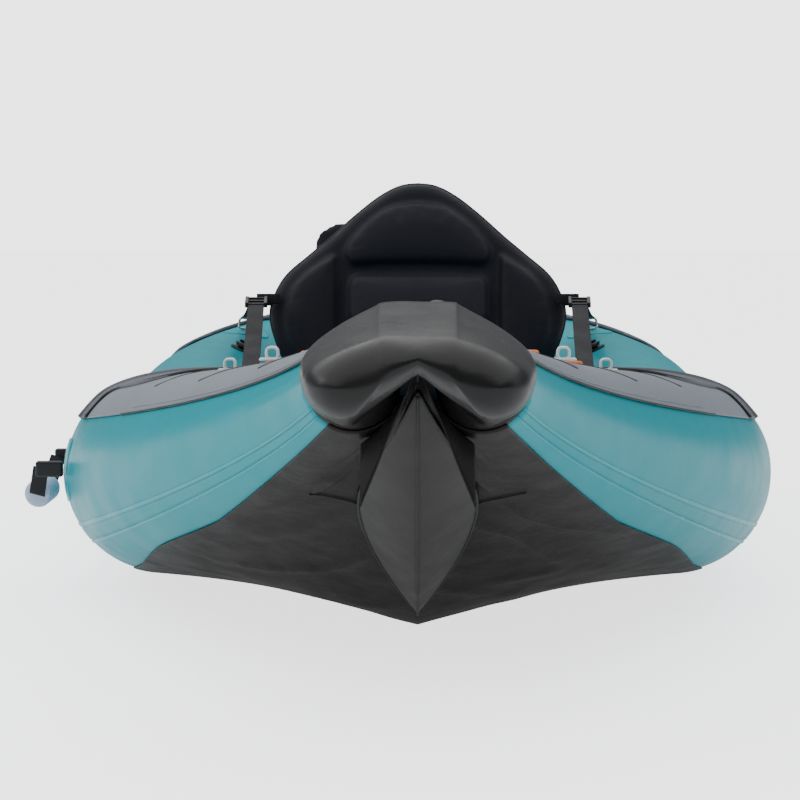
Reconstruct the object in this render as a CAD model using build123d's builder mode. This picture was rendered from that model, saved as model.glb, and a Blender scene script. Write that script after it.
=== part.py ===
from build123d import *
import math
import os

# One-person inflatable kayak, in millimetres.
# +Z is up, the bow is at -Y and the stern at +Y. The origin is the middle of the flat bottom.

# Overall sizes
length = 3120
beam = 930
tube_diameter = 260

# Side tubes: they taper and rise from the middle to tips that sit inside the nose cones
tube_tip_inset = 100
tube_tip_radius = 40
tube_tip_gap = 4
tube_tip_height = 360
taper_length = 1150
taper_power = 1.4
rise_length = 1450

# Coated fabric that wraps the tubes
skin = 2
deck_thickness = 2
web_share = 0.9
skin_wrap = 9
skin_tip_wrap = 50
deck_edge_angle = 57

# Keel line: it is on the ground amidships and climbs to both ends
keel_rise_start = 765
keel_rise_slope = 0.58
keel_rise_round = 30
keel_ground_dip = 1.5

# Keel cutwater plates
keel_plate_top = 200
keel_plate_foot = 700
keel_plate_half_width = 61
keel_plate_thickness = 5
keel_plate_gap = 3.4
keel_plate_depth = 38
keel_plate_belly = 0.48
keel_plate_fullness = 1.8
stern_plate_foot = 335
stern_plate_half_width = 40

# Nose cones
cone_length = 200
cone_half_width = 108
cone_top = 405
cone_top_half_width = 33
cone_lobe_height = 346
cone_foot = 299
cone_arch = 338
cone_nose_size = 0.3
cone_roundness = 0.55

# Decks and coamings
deck_edge_middle = 620
deck_edge_tip = 860
deck_tip_reach = 340
coaming_width = 60
coaming_thickness = 4

# Floor
floor_thickness = 70
floor_side_gap = 6
floor_lift = 8.6
floor_bow_end = 480
floor_corner = 22

# Seat
seat_front = -160
cushion_length = 380
cushion_width = 372
cushion_thickness = 48
cushion_corner = 60
back_height = 375
back_thickness = 36
back_tilt = 10
back_foot_half_width = 185
back_waist_half_width = 232
back_shoulder_half_width = 167
back_crown_half_width = 97
back_waist_share = 0.44
back_shoulder_share = 0.72
back_crown_share = 0.89
back_foot_corner = 34
hinge_clearance = 10
pouch_thickness = 22
pouch_width = 300
pouch_height = 215
pouch_foot = 100
pouch_shift = -14
zip_length = 230
zip_width = 12
zip_thickness = 1.5
pouch_corner = 44
pull_size = (12, 9)
pull_tongue = (34, 7)
pull_drop = 18
pull_thickness = 2.5
zip_height = 270

# Straps and their hardware
strap_width = 25
strap_thickness = 2
front_anchor = (-85, -190)
rear_anchor = (-16, 590)
ring_wire = 4
ring_width = 32
ring_depth = 22
patch_radius = 38
patch_thickness = 1.5
strap_out = 14
tab_reach = 20
buckle_thickness = 12
strap_back_height = 188
buckle_length = 42

# Footrest
footrest_radius = 42
footrest_half_length = 170
footrest_station = -500
footrest_sole_width = 60
footrest_gap = 2

# Carry handles
handle_span = 156
handle_reach = 38
handle_corner = 12
handle_webbing_width = 20
handle_webbing_thickness = 2.5
grip_radius = 18
grip_length = 84
grip_rib_depth = 2
grip_ribs = 9
side_handle_station = -440
side_patch_width = 84
hinge_rise = 14
side_handle_angle = 88
side_handle_droop = 75
end_handle_station = 300
end_handle_rise = 2.5
lug_length = 14

# Deck bungees
bungee_radius = 3
bungee_near = 420
bungee_far = 650
bungee_near_reach = 152
bungee_far_reach = 212
bungee_crossing_lift = 8
bungee_bend = 14
loop_bore = 9
loop_wall = 2.5
loop_width = 12
loop_sink = 1
lock_size = (14, 12)
lock_half_length = 20

# Valves
valve_flange_radius = 24
valve_flange_height = 3
valve_sleeve_radius = 17
valve_sleeve_depth = 20
valve_bore_radius = 13
valve_stem_radius = 3
valve_seal_radius = 10
valve_cap_radius = 18
valve_cap_height = 7
stem_travel = 4
spider_depth = 12
spider_thickness = 3
valve_station = 400
valve_angle = -24
floor_valve = (105, 640)
fit_clearance = 0.3
soft_gap = 1
joint_gap = 1

# Skeg
skeg_front = 650
skeg_back = 480
skeg_base_width = 44
skeg_base_height = 20
skeg_thickness = 8
skeg_ground_gap = 12
skeg_pin_radius = 2
skeg_tongue_height = 8
skeg_pin_length = 46
skeg_knob_radius = 4
skeg_knob_length = 5
skeg_fin_inset = 8
skeg_fin_sweep = 24
skeg_fin_tip_rise = 30
skeg_fin_foot = 70

# Seam tapes and stripes
tape_thickness = 0.8
tape_angle = 128
tape_wrap = 12
stripe_angles = ((76, 79), (81, 84))
stripe_front = -300
stripe_lengths = (95, 70)

# Worked out
half_length = length / 2
half_gap_to_axis = (beam - tube_diameter) / 2
tube_radius = tube_diameter / 2
tube_lift = skin
hinge_y = seat_front + cushion_length + back_thickness / 2 + hinge_clearance

sides = (("starboard", -1), ("port", 1))
ends = (("bow", -1), ("stern", 1))

cone_face = half_length - cone_length

os.makedirs("parts", exist_ok=True)


def save(builder, name):
    """Label a finished piece and write its STEP file."""
    builder.part.label = name
    export_step(builder.part, f"parts/{name}.step")


# Hull lines: everything that touches the hull takes its place from these functions.

def from_tip(y):
    """Distance from the nearer end of the boat."""
    return half_length - abs(y)


def taper(y):
    """0 at a tube's tip, 1 where it has reached its full size."""
    share = (from_tip(y) - tube_tip_inset) / taper_length
    return min(max(share, 0), 1)


def swell(y):
    return math.sin(taper(y) * math.pi / 2) ** taper_power


def tube_x(y):
    tip = tube_tip_radius + tube_tip_gap / 2
    return tip + (half_gap_to_axis - tip) * swell(y)


def tube_r(y):
    return tube_tip_radius + (tube_radius - tube_tip_radius) * swell(y)


def tube_z(y):
    level = tube_radius + tube_lift
    share = max(1 - (from_tip(y) - tube_tip_inset) / rise_length, 0)
    return level + (tube_tip_height - level) * share ** 2


def keel_z(y):
    """Outer face of the bottom skin on the centre line, a little below ground amidships."""
    climb = keel_rise_slope * (keel_rise_start - from_tip(y))
    return (climb + math.hypot(climb, keel_rise_round)) / 2 - keel_ground_dip


def round_tube(y, side, angle, out=0, scale=1):
    """A point on the tube's section at y, at an angle outboard from straight up."""
    r = (tube_r(y) + out) * scale
    a = math.radians(angle)
    return (side * (tube_x(y) + r * math.sin(a)), tube_z(y) + r * math.cos(a))


def touch_angle(y, middle_z, out, below):
    """Where a line from the centre line at middle_z touches the tube, above or below it."""
    dx, dz = tube_x(y), tube_z(y) - middle_z
    reach = math.hypot(dx, dz)
    tilt = math.degrees(math.atan2(dz, dx))
    spread = math.degrees(math.asin((tube_r(y) + out) / reach))
    return 180 - (tilt - spread) if below else -(tilt + spread)


def stations(first, last, count):
    return [first + (last - first) * i / (count - 1) for i in range(count)]


def section_plane(y):
    return Plane(origin=(0, y, 0), x_dir=(1, 0, 0), z_dir=(0, -1, 0))


# Side tubes

tube_end = half_length - tube_tip_inset


def tube_section(y, side):
    with BuildSketch(section_plane(y)) as section:
        with Locations((side * tube_x(y), tube_z(y))):
            Circle(tube_r(y))
    return section.sketch


def tube(side):
    with BuildPart() as chamber:
        loft([tube_section(y, side) for y in stations(-tube_end, tube_end, 33)])
    return chamber


tubes = {name: tube(side) for name, side in sides}


def cut_tubes():
    for chamber in tubes.values():
        add(chamber.part, mode=Mode.SUBTRACT)


# Fabric that spans the tubes: one section for the bottom skin and for the decks

def span_section(y, thickness, middle_z, edge_angle, below):
    """A sheet from tube to tube that wraps each tube out to edge_angle."""
    touch = touch_angle(y, middle_z, thickness, below)
    inward = thickness if below else -thickness
    corners = []
    for side in (-1, 1):
        corners.append([
            round_tube(y, side, edge_angle, thickness),
            round_tube(y, side, (edge_angle + touch) / 2, thickness),
            round_tube(y, side, touch, thickness),
            round_tube(y, side, touch, 0, web_share),
        ])
    (l_edge, l_mid, l_touch, l_inner), (r_edge, r_mid, r_touch, r_inner) = corners
    with BuildSketch(section_plane(y)) as section:
        with BuildLine():
            ThreePointArc(l_edge, l_mid, l_touch)
            Polyline(l_touch, (0, middle_z), r_touch)
            ThreePointArc(r_touch, r_mid, r_edge)
            Polyline(r_edge, r_inner, (0, middle_z + inward), l_inner, l_edge)
        make_face()
    return section.sketch


def bottom_section(y):
    wrap = skin_wrap + skin_tip_wrap * (1 - taper(y)) ** 6
    edge = touch_angle(y, keel_z(y), skin, True) - wrap
    return span_section(y, skin, keel_z(y), edge, True)


with BuildPart() as hull_bottom:
    loft([bottom_section(y) for y in stations(-cone_face, cone_face, 33)])
    cut_tubes()
    Box(beam, length, 50, align=(Align.CENTER, Align.CENTER, Align.MAX), mode=Mode.SUBTRACT)
save(hull_bottom, "hull_bottom")


def web_slope(y):
    """Rise of the bottom skin's outer face for each millimetre outboard."""
    tilt = math.radians(180 - touch_angle(y, keel_z(y), skin, True))
    return math.tan(tilt)


def web_inside(y, x):
    """Height of the bottom skin's inner face at a distance x from the centre line."""
    touch = touch_angle(y, keel_z(y), skin, True)
    inner_x, inner_z = round_tube(y, 1, touch, 0, web_share)
    start = keel_z(y) + skin
    return start + (inner_z - start) * x / inner_x


# Inflatable floor: it fills the gap between the tubes and rests just above the skin

def floor_half_width(y):
    return tube_x(y) - tube_r(y) - floor_side_gap


def floor_bottom(y):
    return web_inside(y, floor_half_width(y) - floor_corner) + floor_lift


def floor_section(y):
    with BuildSketch(section_plane(y)) as section:
        with Locations((0, floor_bottom(y) + floor_thickness / 2)):
            RectangleRounded(2 * floor_half_width(y), floor_thickness, floor_corner)
    return section.sketch


floor_end = half_length - floor_bow_end


# Valves: the same one in each tube and in the floor

def valve_plane(side):
    angle = math.radians(valve_angle)
    x, z = round_tube(valve_station, side, valve_angle)
    normal = (side * math.sin(angle), 0, math.cos(angle))
    flat = valve_flange_radius ** 2 / (2 * tube_radius)
    return Plane(origin=(x, valve_station, z), x_dir=(0, 1, 0), z_dir=normal).offset(-flat)


floor_valve_z = floor_bottom(floor_valve[1]) + floor_thickness
valve_planes = {
    "starboard": valve_plane(-1),
    "port": valve_plane(1),
    "floor": Plane(origin=(*floor_valve, floor_valve_z)),
}


def cut_valve_pocket(plane):
    depth = valve_sleeve_depth + stem_travel + 2
    with Locations(plane):
        Cylinder(valve_sleeve_radius, depth, align=hang, mode=Mode.SUBTRACT)
        Cylinder(valve_flange_radius, 2 * depth, align=stand, mode=Mode.SUBTRACT)


hang = (Align.CENTER, Align.CENTER, Align.MAX)
stand = (Align.CENTER, Align.CENTER, Align.MIN)

with BuildPart() as floor:
    loft([floor_section(y) for y in stations(-floor_end, floor_end, 25)])
    cut_valve_pocket(valve_planes["floor"])
save(floor, "floor")

for name, side in sides:
    with BuildPart() as chamber:
        add(tubes[name].part)
        cut_valve_pocket(valve_planes[name])
    save(chamber, f"{name}_tube")

for name, plane in valve_planes.items():
    with BuildPart() as valve_body:
        with BuildSketch(plane):
            Circle(valve_flange_radius)
            Circle(valve_bore_radius, mode=Mode.SUBTRACT)
        extrude(amount=valve_flange_height)
        with BuildSketch(plane):
            Circle(valve_sleeve_radius)
            Circle(valve_bore_radius, mode=Mode.SUBTRACT)
        extrude(amount=-valve_sleeve_depth)
        with BuildSketch(plane.offset(-spider_depth)):
            Circle(valve_bore_radius)
            Circle(valve_stem_radius + fit_clearance, mode=Mode.SUBTRACT)
            with PolarLocations((valve_bore_radius + valve_stem_radius) / 2, 4):
                Circle(valve_bore_radius / 5, mode=Mode.SUBTRACT)
        extrude(amount=-spider_thickness)
    save(valve_body, f"{name}_valve_body")

    with BuildPart() as valve_stem:
        with BuildSketch(plane.offset(-spider_depth - spider_thickness - fit_clearance)):
            Circle(valve_seal_radius)
        extrude(amount=-2)
        with BuildSketch(plane.offset(-spider_depth - spider_thickness - 1)):
            Circle(valve_stem_radius)
        extrude(amount=spider_thickness + stem_travel + 2)
    save(valve_stem, f"{name}_valve_stem")

    with BuildPart() as valve_cap:
        with BuildSketch(plane.offset(valve_flange_height + fit_clearance)):
            Circle(valve_cap_radius)
        extrude(amount=valve_cap_height)
        fillet(valve_cap.edges().sort_by(Axis.Z)[-1:], 1)
        with BuildSketch(plane.offset(valve_flange_height + fit_clearance)):
            Circle(valve_bore_radius - fit_clearance)
        extrude(amount=-valve_flange_height - 3)
        with BuildSketch(plane.offset(valve_flange_height + fit_clearance + valve_cap_height)):
            Rectangle(1.6 * valve_cap_radius, 4)
        extrude(amount=4)
    save(valve_cap, f"{name}_valve_cap")


# Nose cones: a moulded cap over the two tube tips, hollowed by them

def cone_section(y):
    share = 1 - from_tip(y) / cone_length
    size = cone_nose_size + (1 - cone_nose_size) * (1 - share ** 2) ** cone_roundness
    middle = (cone_top + cone_foot) / 2

    def at(x, z):
        return (x * size, middle + (z - middle) * size)

    shoulder = (cone_half_width + cone_top_half_width) * 0.57
    with BuildSketch(section_plane(y)) as section:
        with BuildLine():
            Line(at(-cone_top_half_width, cone_top), at(cone_top_half_width, cone_top))
            half = Spline(
                at(cone_top_half_width, cone_top),
                at(shoulder, cone_top - 0.35 * (cone_top - cone_lobe_height)),
                at(cone_half_width, cone_lobe_height),
                at(0.9 * cone_half_width, cone_foot + 12),
                at(0.7 * cone_half_width, cone_foot),
            )
            mirror(half, about=Plane.YZ)
            foot = 0.7 * cone_half_width
            ThreePointArc(at(-foot, cone_foot), at(0, cone_arch), at(foot, cone_foot))
        make_face()
    return section.sketch


def nose_cone(end):
    reaches = [cone_length * share for share in (0, 0.07, 0.22, 0.45, 0.72, 1)]
    with BuildPart() as cone:
        loft([cone_section(end * (half_length - reach)) for reach in reaches])
        cut_tubes()
    return cone


for name, end in ends:
    save(nose_cone(end), f"{name}_nose_cone")


# Keel plates: a leaf-shaped cutwater at the bow and a shorter one ahead of the skeg

def plate_section(y, half_width, share):
    keel = keel_z(y) - keel_plate_gap
    edge = keel + web_slope(y) * half_width
    ridge = keel - keel_plate_depth * share
    with BuildSketch(section_plane(y)) as section:
        with BuildLine():
            Polyline(
                (0, ridge - keel_plate_thickness),
                (half_width, edge - keel_plate_thickness / 2),
                (half_width, edge),
                (0, ridge),
                (-half_width, edge),
                (-half_width, edge - keel_plate_thickness / 2),
                close=True,
            )
        make_face()
    return section.sketch


def keel_plate(end, foot, widest):
    """A V plate from the nose cone to foot, both measured from the tip."""
    belly = keel_plate_top + keel_plate_belly * (foot - keel_plate_top)
    sections = []
    for reach in stations(keel_plate_top + 4, foot, 9):
        run = belly - keel_plate_top if reach < belly else foot - belly
        share = 1 - abs((reach - belly) / run) ** keel_plate_fullness
        half_width = 2 + (widest - 2) * share
        sections.append(plate_section(end * (half_length - reach), half_width, share))
    with BuildPart() as plate:
        loft(sections)
    return plate


save(keel_plate(-1, keel_plate_foot, keel_plate_half_width), "bow_keel_plate")
save(keel_plate(1, stern_plate_foot, stern_plate_half_width), "stern_keel_plate")


# Decks: fabric from tube to tube, open to the cockpit along an arc that ends in two arms

def deck_section(y, thickness):
    top = tube_z(y) + tube_r(y) + thickness
    return span_section(y, thickness, top, deck_edge_angle, False)


def cockpit_arc(end, back):
    """The deck's cockpit edge, moved towards the cockpit by back."""
    middle = (0, end * (half_length - deck_edge_middle - back))
    tip = end * (half_length - deck_edge_tip - back)
    return ThreePointArc((-deck_tip_reach, tip), middle, (deck_tip_reach, tip))


def deck_band(end, front, back, thickness):
    """The deck's loft between two copies of the cockpit arc, or from the cone to one."""
    last = half_length - deck_edge_tip - coaming_width - 20
    with BuildPart() as band:
        loft([deck_section(end * y, thickness) for y in stations(cone_face, last, 9)])
        cut_tubes()
        with BuildSketch() as plan:
            with BuildLine():
                arc = cockpit_arc(end, back)
                if front is None:
                    start = end * half_length
                    left, right = (-deck_tip_reach, start), (deck_tip_reach, start)
                    Polyline(arc @ 0, left, right, arc @ 1)
                else:
                    fore = cockpit_arc(end, front)
                    Line(arc @ 0, fore @ 0)
                    Line(arc @ 1, fore @ 1)
            make_face()
        extrude(amount=2 * tube_tip_height, mode=Mode.INTERSECT)
    return band


decks = {}
for name, end in ends:
    decks[name] = deck_band(end, None, 0, deck_thickness)
    save(decks[name], f"{name}_deck")
    save(deck_band(end, joint_gap, coaming_width, coaming_thickness), f"{name}_coaming")


# Fabric patches and tapes that follow a tube's round side

def side_normal(side, angle):
    a = math.radians(angle)
    return (side * math.sin(a), 0, math.cos(a))


def tube_plane(y, side, angle, out=0):
    """On the tube's surface: x runs aft along the boat, z straight out of the tube."""
    x, z = round_tube(y, side, angle, out)
    return Plane(origin=(x, y, z), x_dir=(0, 1, 0), z_dir=side_normal(side, angle))


def tube_shell(side, first, last, thickness):
    with BuildPart() as shell:
        sections = []
        for y in stations(first, last, 5):
            with BuildSketch(section_plane(y)) as section:
                with Locations((side * tube_x(y), tube_z(y))):
                    Circle(tube_r(y) + thickness)
            sections.append(section.sketch)
        loft(sections)
        add(tubes["port" if side > 0 else "starboard"].part, mode=Mode.SUBTRACT)
    return shell.part


def patch(y, side, angle, size, thickness):
    """A rounded patch on the tube, size long and wide."""
    long, wide = size
    with BuildPart() as piece:
        with BuildSketch(tube_plane(y, side, angle, -tube_radius / 2)):
            RectangleRounded(long, wide, 0.49 * min(long, wide) if long == wide else 12)
        extrude(amount=tube_radius)
        reach = long / 2 + 10
        shell = tube_shell(side, y - reach, y + reach, thickness)
        add(shell, mode=Mode.INTERSECT)
    return piece


def tape(side, angle, wide, first, last, thickness, count):
    """A long narrow strip stuck to the tube at one angle."""
    sections = []
    for y in stations(first, last, count):
        low, high = angle - wide / 2, angle + wide / 2
        with BuildSketch(section_plane(y)) as section:
            with BuildLine():
                corner = [
                    round_tube(y, side, low, thickness),
                    round_tube(y, side, angle, thickness),
                    round_tube(y, side, high, thickness),
                    round_tube(y, side, high, 0, web_share),
                    round_tube(y, side, low, 0, web_share),
                ]
                ThreePointArc(corner[0], corner[1], corner[2])
                Polyline(corner[2], corner[3], corner[4], corner[0])
            make_face()
        sections.append(section.sketch)
    with BuildPart() as strip:
        loft(sections)
        add(tubes["port" if side > 0 else "starboard"].part, mode=Mode.SUBTRACT)
    return strip


for name, side in sides:
    seam = tape(side, tape_angle, tape_wrap, -cone_face, cone_face, tape_thickness, 33)
    save(seam, f"{name}_seam_tape")

with BuildPart() as side_stripes:
    for (low, high), run in zip(stripe_angles, stripe_lengths):
        first = stripe_front
        stripe = tape(1, (low + high) / 2, high - low, first, first + run, tape_thickness, 5)
        add(stripe.part)
save(side_stripes, "side_stripes")


# Seat: a cushion on the floor and a back that folds on a fabric hinge

seat_ends = (seat_front, hinge_y)
floor_top = max(floor_bottom(y) for y in seat_ends) + floor_thickness
cushion_bottom = floor_top + soft_gap
cushion_top = cushion_bottom + cushion_thickness
hinge_z = cushion_top + back_thickness / 2 + hinge_clearance
tilt = math.radians(back_tilt)
back_up = (0, math.sin(tilt), math.cos(tilt))
back_plane = Plane(
    origin=(0, hinge_y, hinge_z), x_dir=(1, 0, 0), z_dir=(0, -math.cos(tilt), math.sin(tilt))
)

with BuildPart() as seat_cushion:
    with BuildSketch(Plane.XY.offset(cushion_bottom)):
        with Locations((0, seat_front + cushion_length / 2)):
            RectangleRounded(cushion_width, cushion_length, cushion_corner)
    extrude(amount=cushion_thickness)
    fillet(seat_cushion.faces().sort_by(Axis.Z)[-1].edges(), cushion_thickness / 3)
save(seat_cushion, "seat_cushion")

with BuildPart() as seat_back:
    with BuildSketch(back_plane):
        with BuildLine():
            Line((0, 0), (back_foot_half_width, 0))
            Spline(
                (back_foot_half_width, 0),
                (back_waist_half_width, back_waist_share * back_height),
                (back_shoulder_half_width, back_shoulder_share * back_height),
                (back_crown_half_width, back_crown_share * back_height),
                (0, back_height),
                tangents=((0.15, 1), (-1, 0)),
            )
            mirror(about=Plane.YZ)
        outline = make_face()
        fillet(outline.vertices().group_by(Axis.Y)[0].sort_by(Axis.X)[::2], back_foot_corner)
    extrude(amount=back_thickness / 2, both=True)
save(seat_back, "seat_back")

pouch_front = -back_thickness / 2 - joint_gap
with BuildPart() as back_pouch:
    with BuildSketch(back_plane.offset(pouch_front)):
        with Locations((pouch_shift, pouch_foot + pouch_height / 2)):
            RectangleRounded(pouch_width, pouch_height, pouch_corner)
    extrude(amount=-pouch_thickness)
    fillet(back_pouch.faces().sort_by(Axis.Y)[-1].edges(), pouch_thickness / 3)
save(back_pouch, "back_pouch")

zip_back = back_plane.offset(pouch_front - pouch_thickness)
with BuildPart() as pouch_zip:
    with BuildSketch(zip_back):
        with Locations((pouch_shift, zip_height)):
            Rectangle(zip_length, zip_width)
    extrude(amount=-zip_thickness)
save(pouch_zip, "pouch_zip")

pull_x = pouch_shift - zip_length / 2 + zip_width
with BuildPart() as zip_pull:
    with BuildSketch(zip_back.offset(-zip_thickness - fit_clearance)):
        with Locations((pull_x, zip_height)):
            Rectangle(*pull_size)
        with Locations((pull_x, zip_height - pull_drop)):
            SlotOverall(*pull_tongue, rotation=90)
    extrude(amount=-pull_thickness)
save(zip_pull, "zip_pull")

with BuildPart() as hinge_panel:
    with BuildSketch(Plane.XY.offset(cushion_bottom)):
        with Locations((0, hinge_y)):
            Rectangle(1.6 * back_foot_half_width, skin)
    extrude(amount=hinge_z - cushion_bottom - joint_gap)
save(hinge_panel, "hinge_panel")


# Seat straps: webbing from the back's sides to rings on the tubes

def on_back(side, reach, height, out):
    return back_plane.from_local_coords(Vector(side * reach, height, out))


ring_planes = {}
for end_name, (shift, y) in (("front", front_anchor), ("rear", rear_anchor)):
    lean = math.degrees(math.asin(shift / tube_r(y)))
    for name, side in sides:
        piece = patch(y, side, lean, (2 * patch_radius, 2 * patch_radius), patch_thickness)
        save(piece, f"{name}_{end_name}_ring_patch")
        ring_planes[end_name, side] = tube_plane(y, side, lean, patch_thickness)

for end_name in ("front", "rear"):
    with BuildPart() as rings:
        for name, side in sides:
            plane = ring_planes[end_name, side]
            upright = Plane(origin=plane.origin, x_dir=plane.y_dir, z_dir=(0, 1, 0))
            flip = 1 if upright.y_dir.dot(plane.z_dir) > 0 else -1
            with BuildSketch(upright):
                with Locations((0, flip * (ring_depth / 2 + fit_clearance))):
                    RectangleRounded(ring_width, ring_depth, 6)
                    inside = (ring_width - 2 * ring_wire, ring_depth - 2 * ring_wire)
                    RectangleRounded(*inside, 3, mode=Mode.SUBTRACT)
            extrude(amount=ring_wire / 2, both=True)
    save(rings, f"{end_name}_rings")


def strap_run(end_name, side, out):
    """Where a strap leaves its ring, where it meets the back, and its flat direction."""
    plane = ring_planes[end_name, side]
    ring_end = plane.origin + plane.z_dir * (ring_depth + fit_clearance)
    back_end = on_back(side, back_waist_half_width + tab_reach, strap_back_height, out)
    run = back_end - ring_end
    return ring_end, back_end, run, run.cross(Vector(0, 0, 1)).normalized()


buckle_sets = []
for end_name, out in (("front", strap_out), ("rear", -strap_out)):
    for name, side in sides:
        ring_end, back_end, run, across = strap_run(end_name, side, out)
        start = ring_end + run.normalized() * ring_wire
        with BuildPart() as strap:
            with BuildSketch(Plane(origin=start, x_dir=across, z_dir=run)):
                Rectangle(strap_width, strap_thickness)
            extrude(amount=run.length - ring_wire - buckle_length)
        save(strap, f"{name}_{end_name}_strap")
    with BuildPart() as buckles:
        for name, side in sides:
            ring_end, back_end, run, across = strap_run(end_name, side, out)
            with BuildSketch(Plane(origin=back_end, x_dir=across, z_dir=run * -1)):
                RectangleRounded(strap_width + 10, buckle_thickness, 4)
            extrude(amount=buckle_length)
    save(buckles, f"{end_name}_buckles")
    buckle_sets.append(buckles)

with BuildPart() as back_side_tabs:
    for name, side in sides:
        with BuildSketch(back_plane.offset(-strap_out + joint_gap)):
            with Locations((side * (back_waist_half_width + tab_reach / 2), strap_back_height)):
                Rectangle(tab_reach + 20, 16)
        extrude(amount=2 * (strap_out - joint_gap))
    add(seat_back.part, mode=Mode.SUBTRACT)
    for buckles in buckle_sets:
        add(buckles.part, mode=Mode.SUBTRACT)
save(back_side_tabs, "back_side_tabs")


# Footrest: a firm bolster across the floor, slid fore and aft to suit the paddler

with BuildPart() as footrest:
    bow_edge = footrest_station - footrest_sole_width / 2
    middle = floor_bottom(bow_edge) + floor_thickness + footrest_gap + footrest_radius
    with BuildSketch(Plane.YZ):
        with Locations((footrest_station, middle)):
            Circle(footrest_radius)
            with Locations((0, -footrest_radius / 2)):
                Rectangle(footrest_sole_width, footrest_radius)
    extrude(amount=footrest_half_length, both=True)
save(footrest, "footrest")


# Carry handles: a webbing loop through a ribbed grip, on two lugs

def handle(name, hinge, out):
    """hinge: the loop's middle on its hinge line along Y. out: the way it reaches."""
    plane = Plane(origin=hinge, x_dir=(0, 1, 0), z_dir=Vector(0, 1, 0).cross(out))
    half, grip_half = handle_span / 2, grip_length / 2
    with BuildPart() as webbing:
        with BuildSketch(plane):
            with BuildLine():
                FilletPolyline(
                    (-half, 0),
                    (-grip_half - 6, handle_reach),
                    (grip_half + 6, handle_reach),
                    (half, 0),
                    radius=handle_corner,
                )
            trace(line_width=handle_webbing_thickness)
        extrude(amount=handle_webbing_width / 2, both=True)
    save(webbing, f"{name}_handle_webbing")

    pitch = grip_length / grip_ribs
    with BuildPart() as grip:
        with BuildSketch(plane):
            with Locations((0, handle_reach + grip_radius / 2)):
                Rectangle(grip_length, grip_radius)
            for i in range(1, grip_ribs):
                with Locations((i * pitch - grip_half, handle_reach + grip_radius)):
                    Rectangle(pitch / 3, 2 * grip_rib_depth, mode=Mode.SUBTRACT)
        axis_start = plane.from_local_coords(Vector(0, handle_reach, 0))
        revolve(axis=Axis(axis_start, (0, 1, 0)))
        with Locations(Plane(origin=axis_start, x_dir=(0, 1, 0), z_dir=plane.z_dir)):
            Box(
                2 * grip_length,
                handle_webbing_thickness + 2 * fit_clearance,
                handle_webbing_width + 2 * fit_clearance,
                mode=Mode.SUBTRACT,
            )
    save(grip, f"{name}_handle_grip")
    return plane


def lugs(hinge, depth, across):
    """Two blocks past the ends of a handle's webbing, on the side away from its reach."""
    for end in (-1, 1):
        y = hinge.Y + end * (handle_span / 2 + joint_gap + lug_length / 2)
        if across:
            with Locations((hinge.X + depth / 2, y, hinge.Z)):
                Box(depth + lug_length / 2, lug_length, handle_webbing_width)
        else:
            with Locations((hinge.X, y, hinge.Z - depth / 2)):
                Box(handle_webbing_width, lug_length, depth + lug_length / 2)


droop = math.radians(side_handle_droop)
hinge_x = max(tube_x(y) + tube_r(y) for y in stations(
    side_handle_station - handle_span / 2, side_handle_station + handle_span / 2, 5))
hinge_x += patch_thickness + handle_webbing_width / 2 * math.sin(droop) + joint_gap
side_hinge = Vector(-hinge_x, side_handle_station, tube_z(side_handle_station) + hinge_rise)
side_out = Vector(-math.cos(droop), 0, -math.sin(droop))
handle("side", side_hinge, side_out)

with BuildPart() as side_handle_patch:
    size = (handle_span + 2 * lug_length, side_patch_width)
    add(patch(side_handle_station, -1, side_handle_angle, size, patch_thickness).part)
    lugs(side_hinge, 3 * lug_length, True)
    add(tubes["starboard"].part, mode=Mode.SUBTRACT)
save(side_handle_patch, "side_handle_patch")

rise = math.radians(end_handle_rise)
end_hinges = {}
for name, end in ends:
    y = end * (half_length - end_handle_station)
    tops = [tube_z(v) + tube_r(v) for v in (y - handle_span / 2, y, y + handle_span / 2)]
    height = max(tops) + deck_thickness + handle_webbing_width / 2 + fit_clearance
    end_hinges[name] = Vector(-handle_reach / 2, y, height)
    handle(name, end_hinges[name], Vector(math.cos(rise), 0, math.sin(rise)))

with BuildPart() as end_handle_lugs:
    for name, hinge in end_hinges.items():
        lugs(hinge, 2 * handle_webbing_width, False)
    for deck in decks.values():
        add(deck.part, mode=Mode.SUBTRACT)
    cut_tubes()
save(end_handle_lugs, "end_handle_lugs")


# Deck bungees: one cord through four loops, crossed in the middle

def deck_top(y):
    return tube_z(y) + tube_r(y) + deck_thickness


def bungee_point(end, reach, x, lift=0):
    y = end * (half_length - reach)
    return (x, y, deck_top(y) + loop_bore / 2 + loop_wall - loop_sink + lift)


def bungee_route(end):
    half = (bungee_near + bungee_far) / 2
    return [
        bungee_point(end, bungee_near, -lock_half_length),
        bungee_point(end, bungee_near, -bungee_near_reach),
        bungee_point(end, half - 30, -15, 0),
        bungee_point(end, bungee_far, bungee_far_reach),
        bungee_point(end, bungee_far, 0, 2),
        bungee_point(end, bungee_far, -bungee_far_reach),
        bungee_point(end, half + 25, -20, bungee_crossing_lift),
        bungee_point(end, half - 25, 20, bungee_crossing_lift),
        bungee_point(end, bungee_near, bungee_near_reach),
        bungee_point(end, bungee_near, lock_half_length),
    ]


def corner_radii(points, share):
    """For each corner, an arc as large as share of its shorter run allows."""
    radii = []
    for before, corner, after in zip(points, points[1:], points[2:]):
        come = Vector(corner) - Vector(before)
        go = Vector(after) - Vector(corner)
        half_turn = math.radians(come.get_angle(go)) / 2
        radii.append(share * min(come.length, go.length) / math.tan(half_turn))
    return radii


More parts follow.
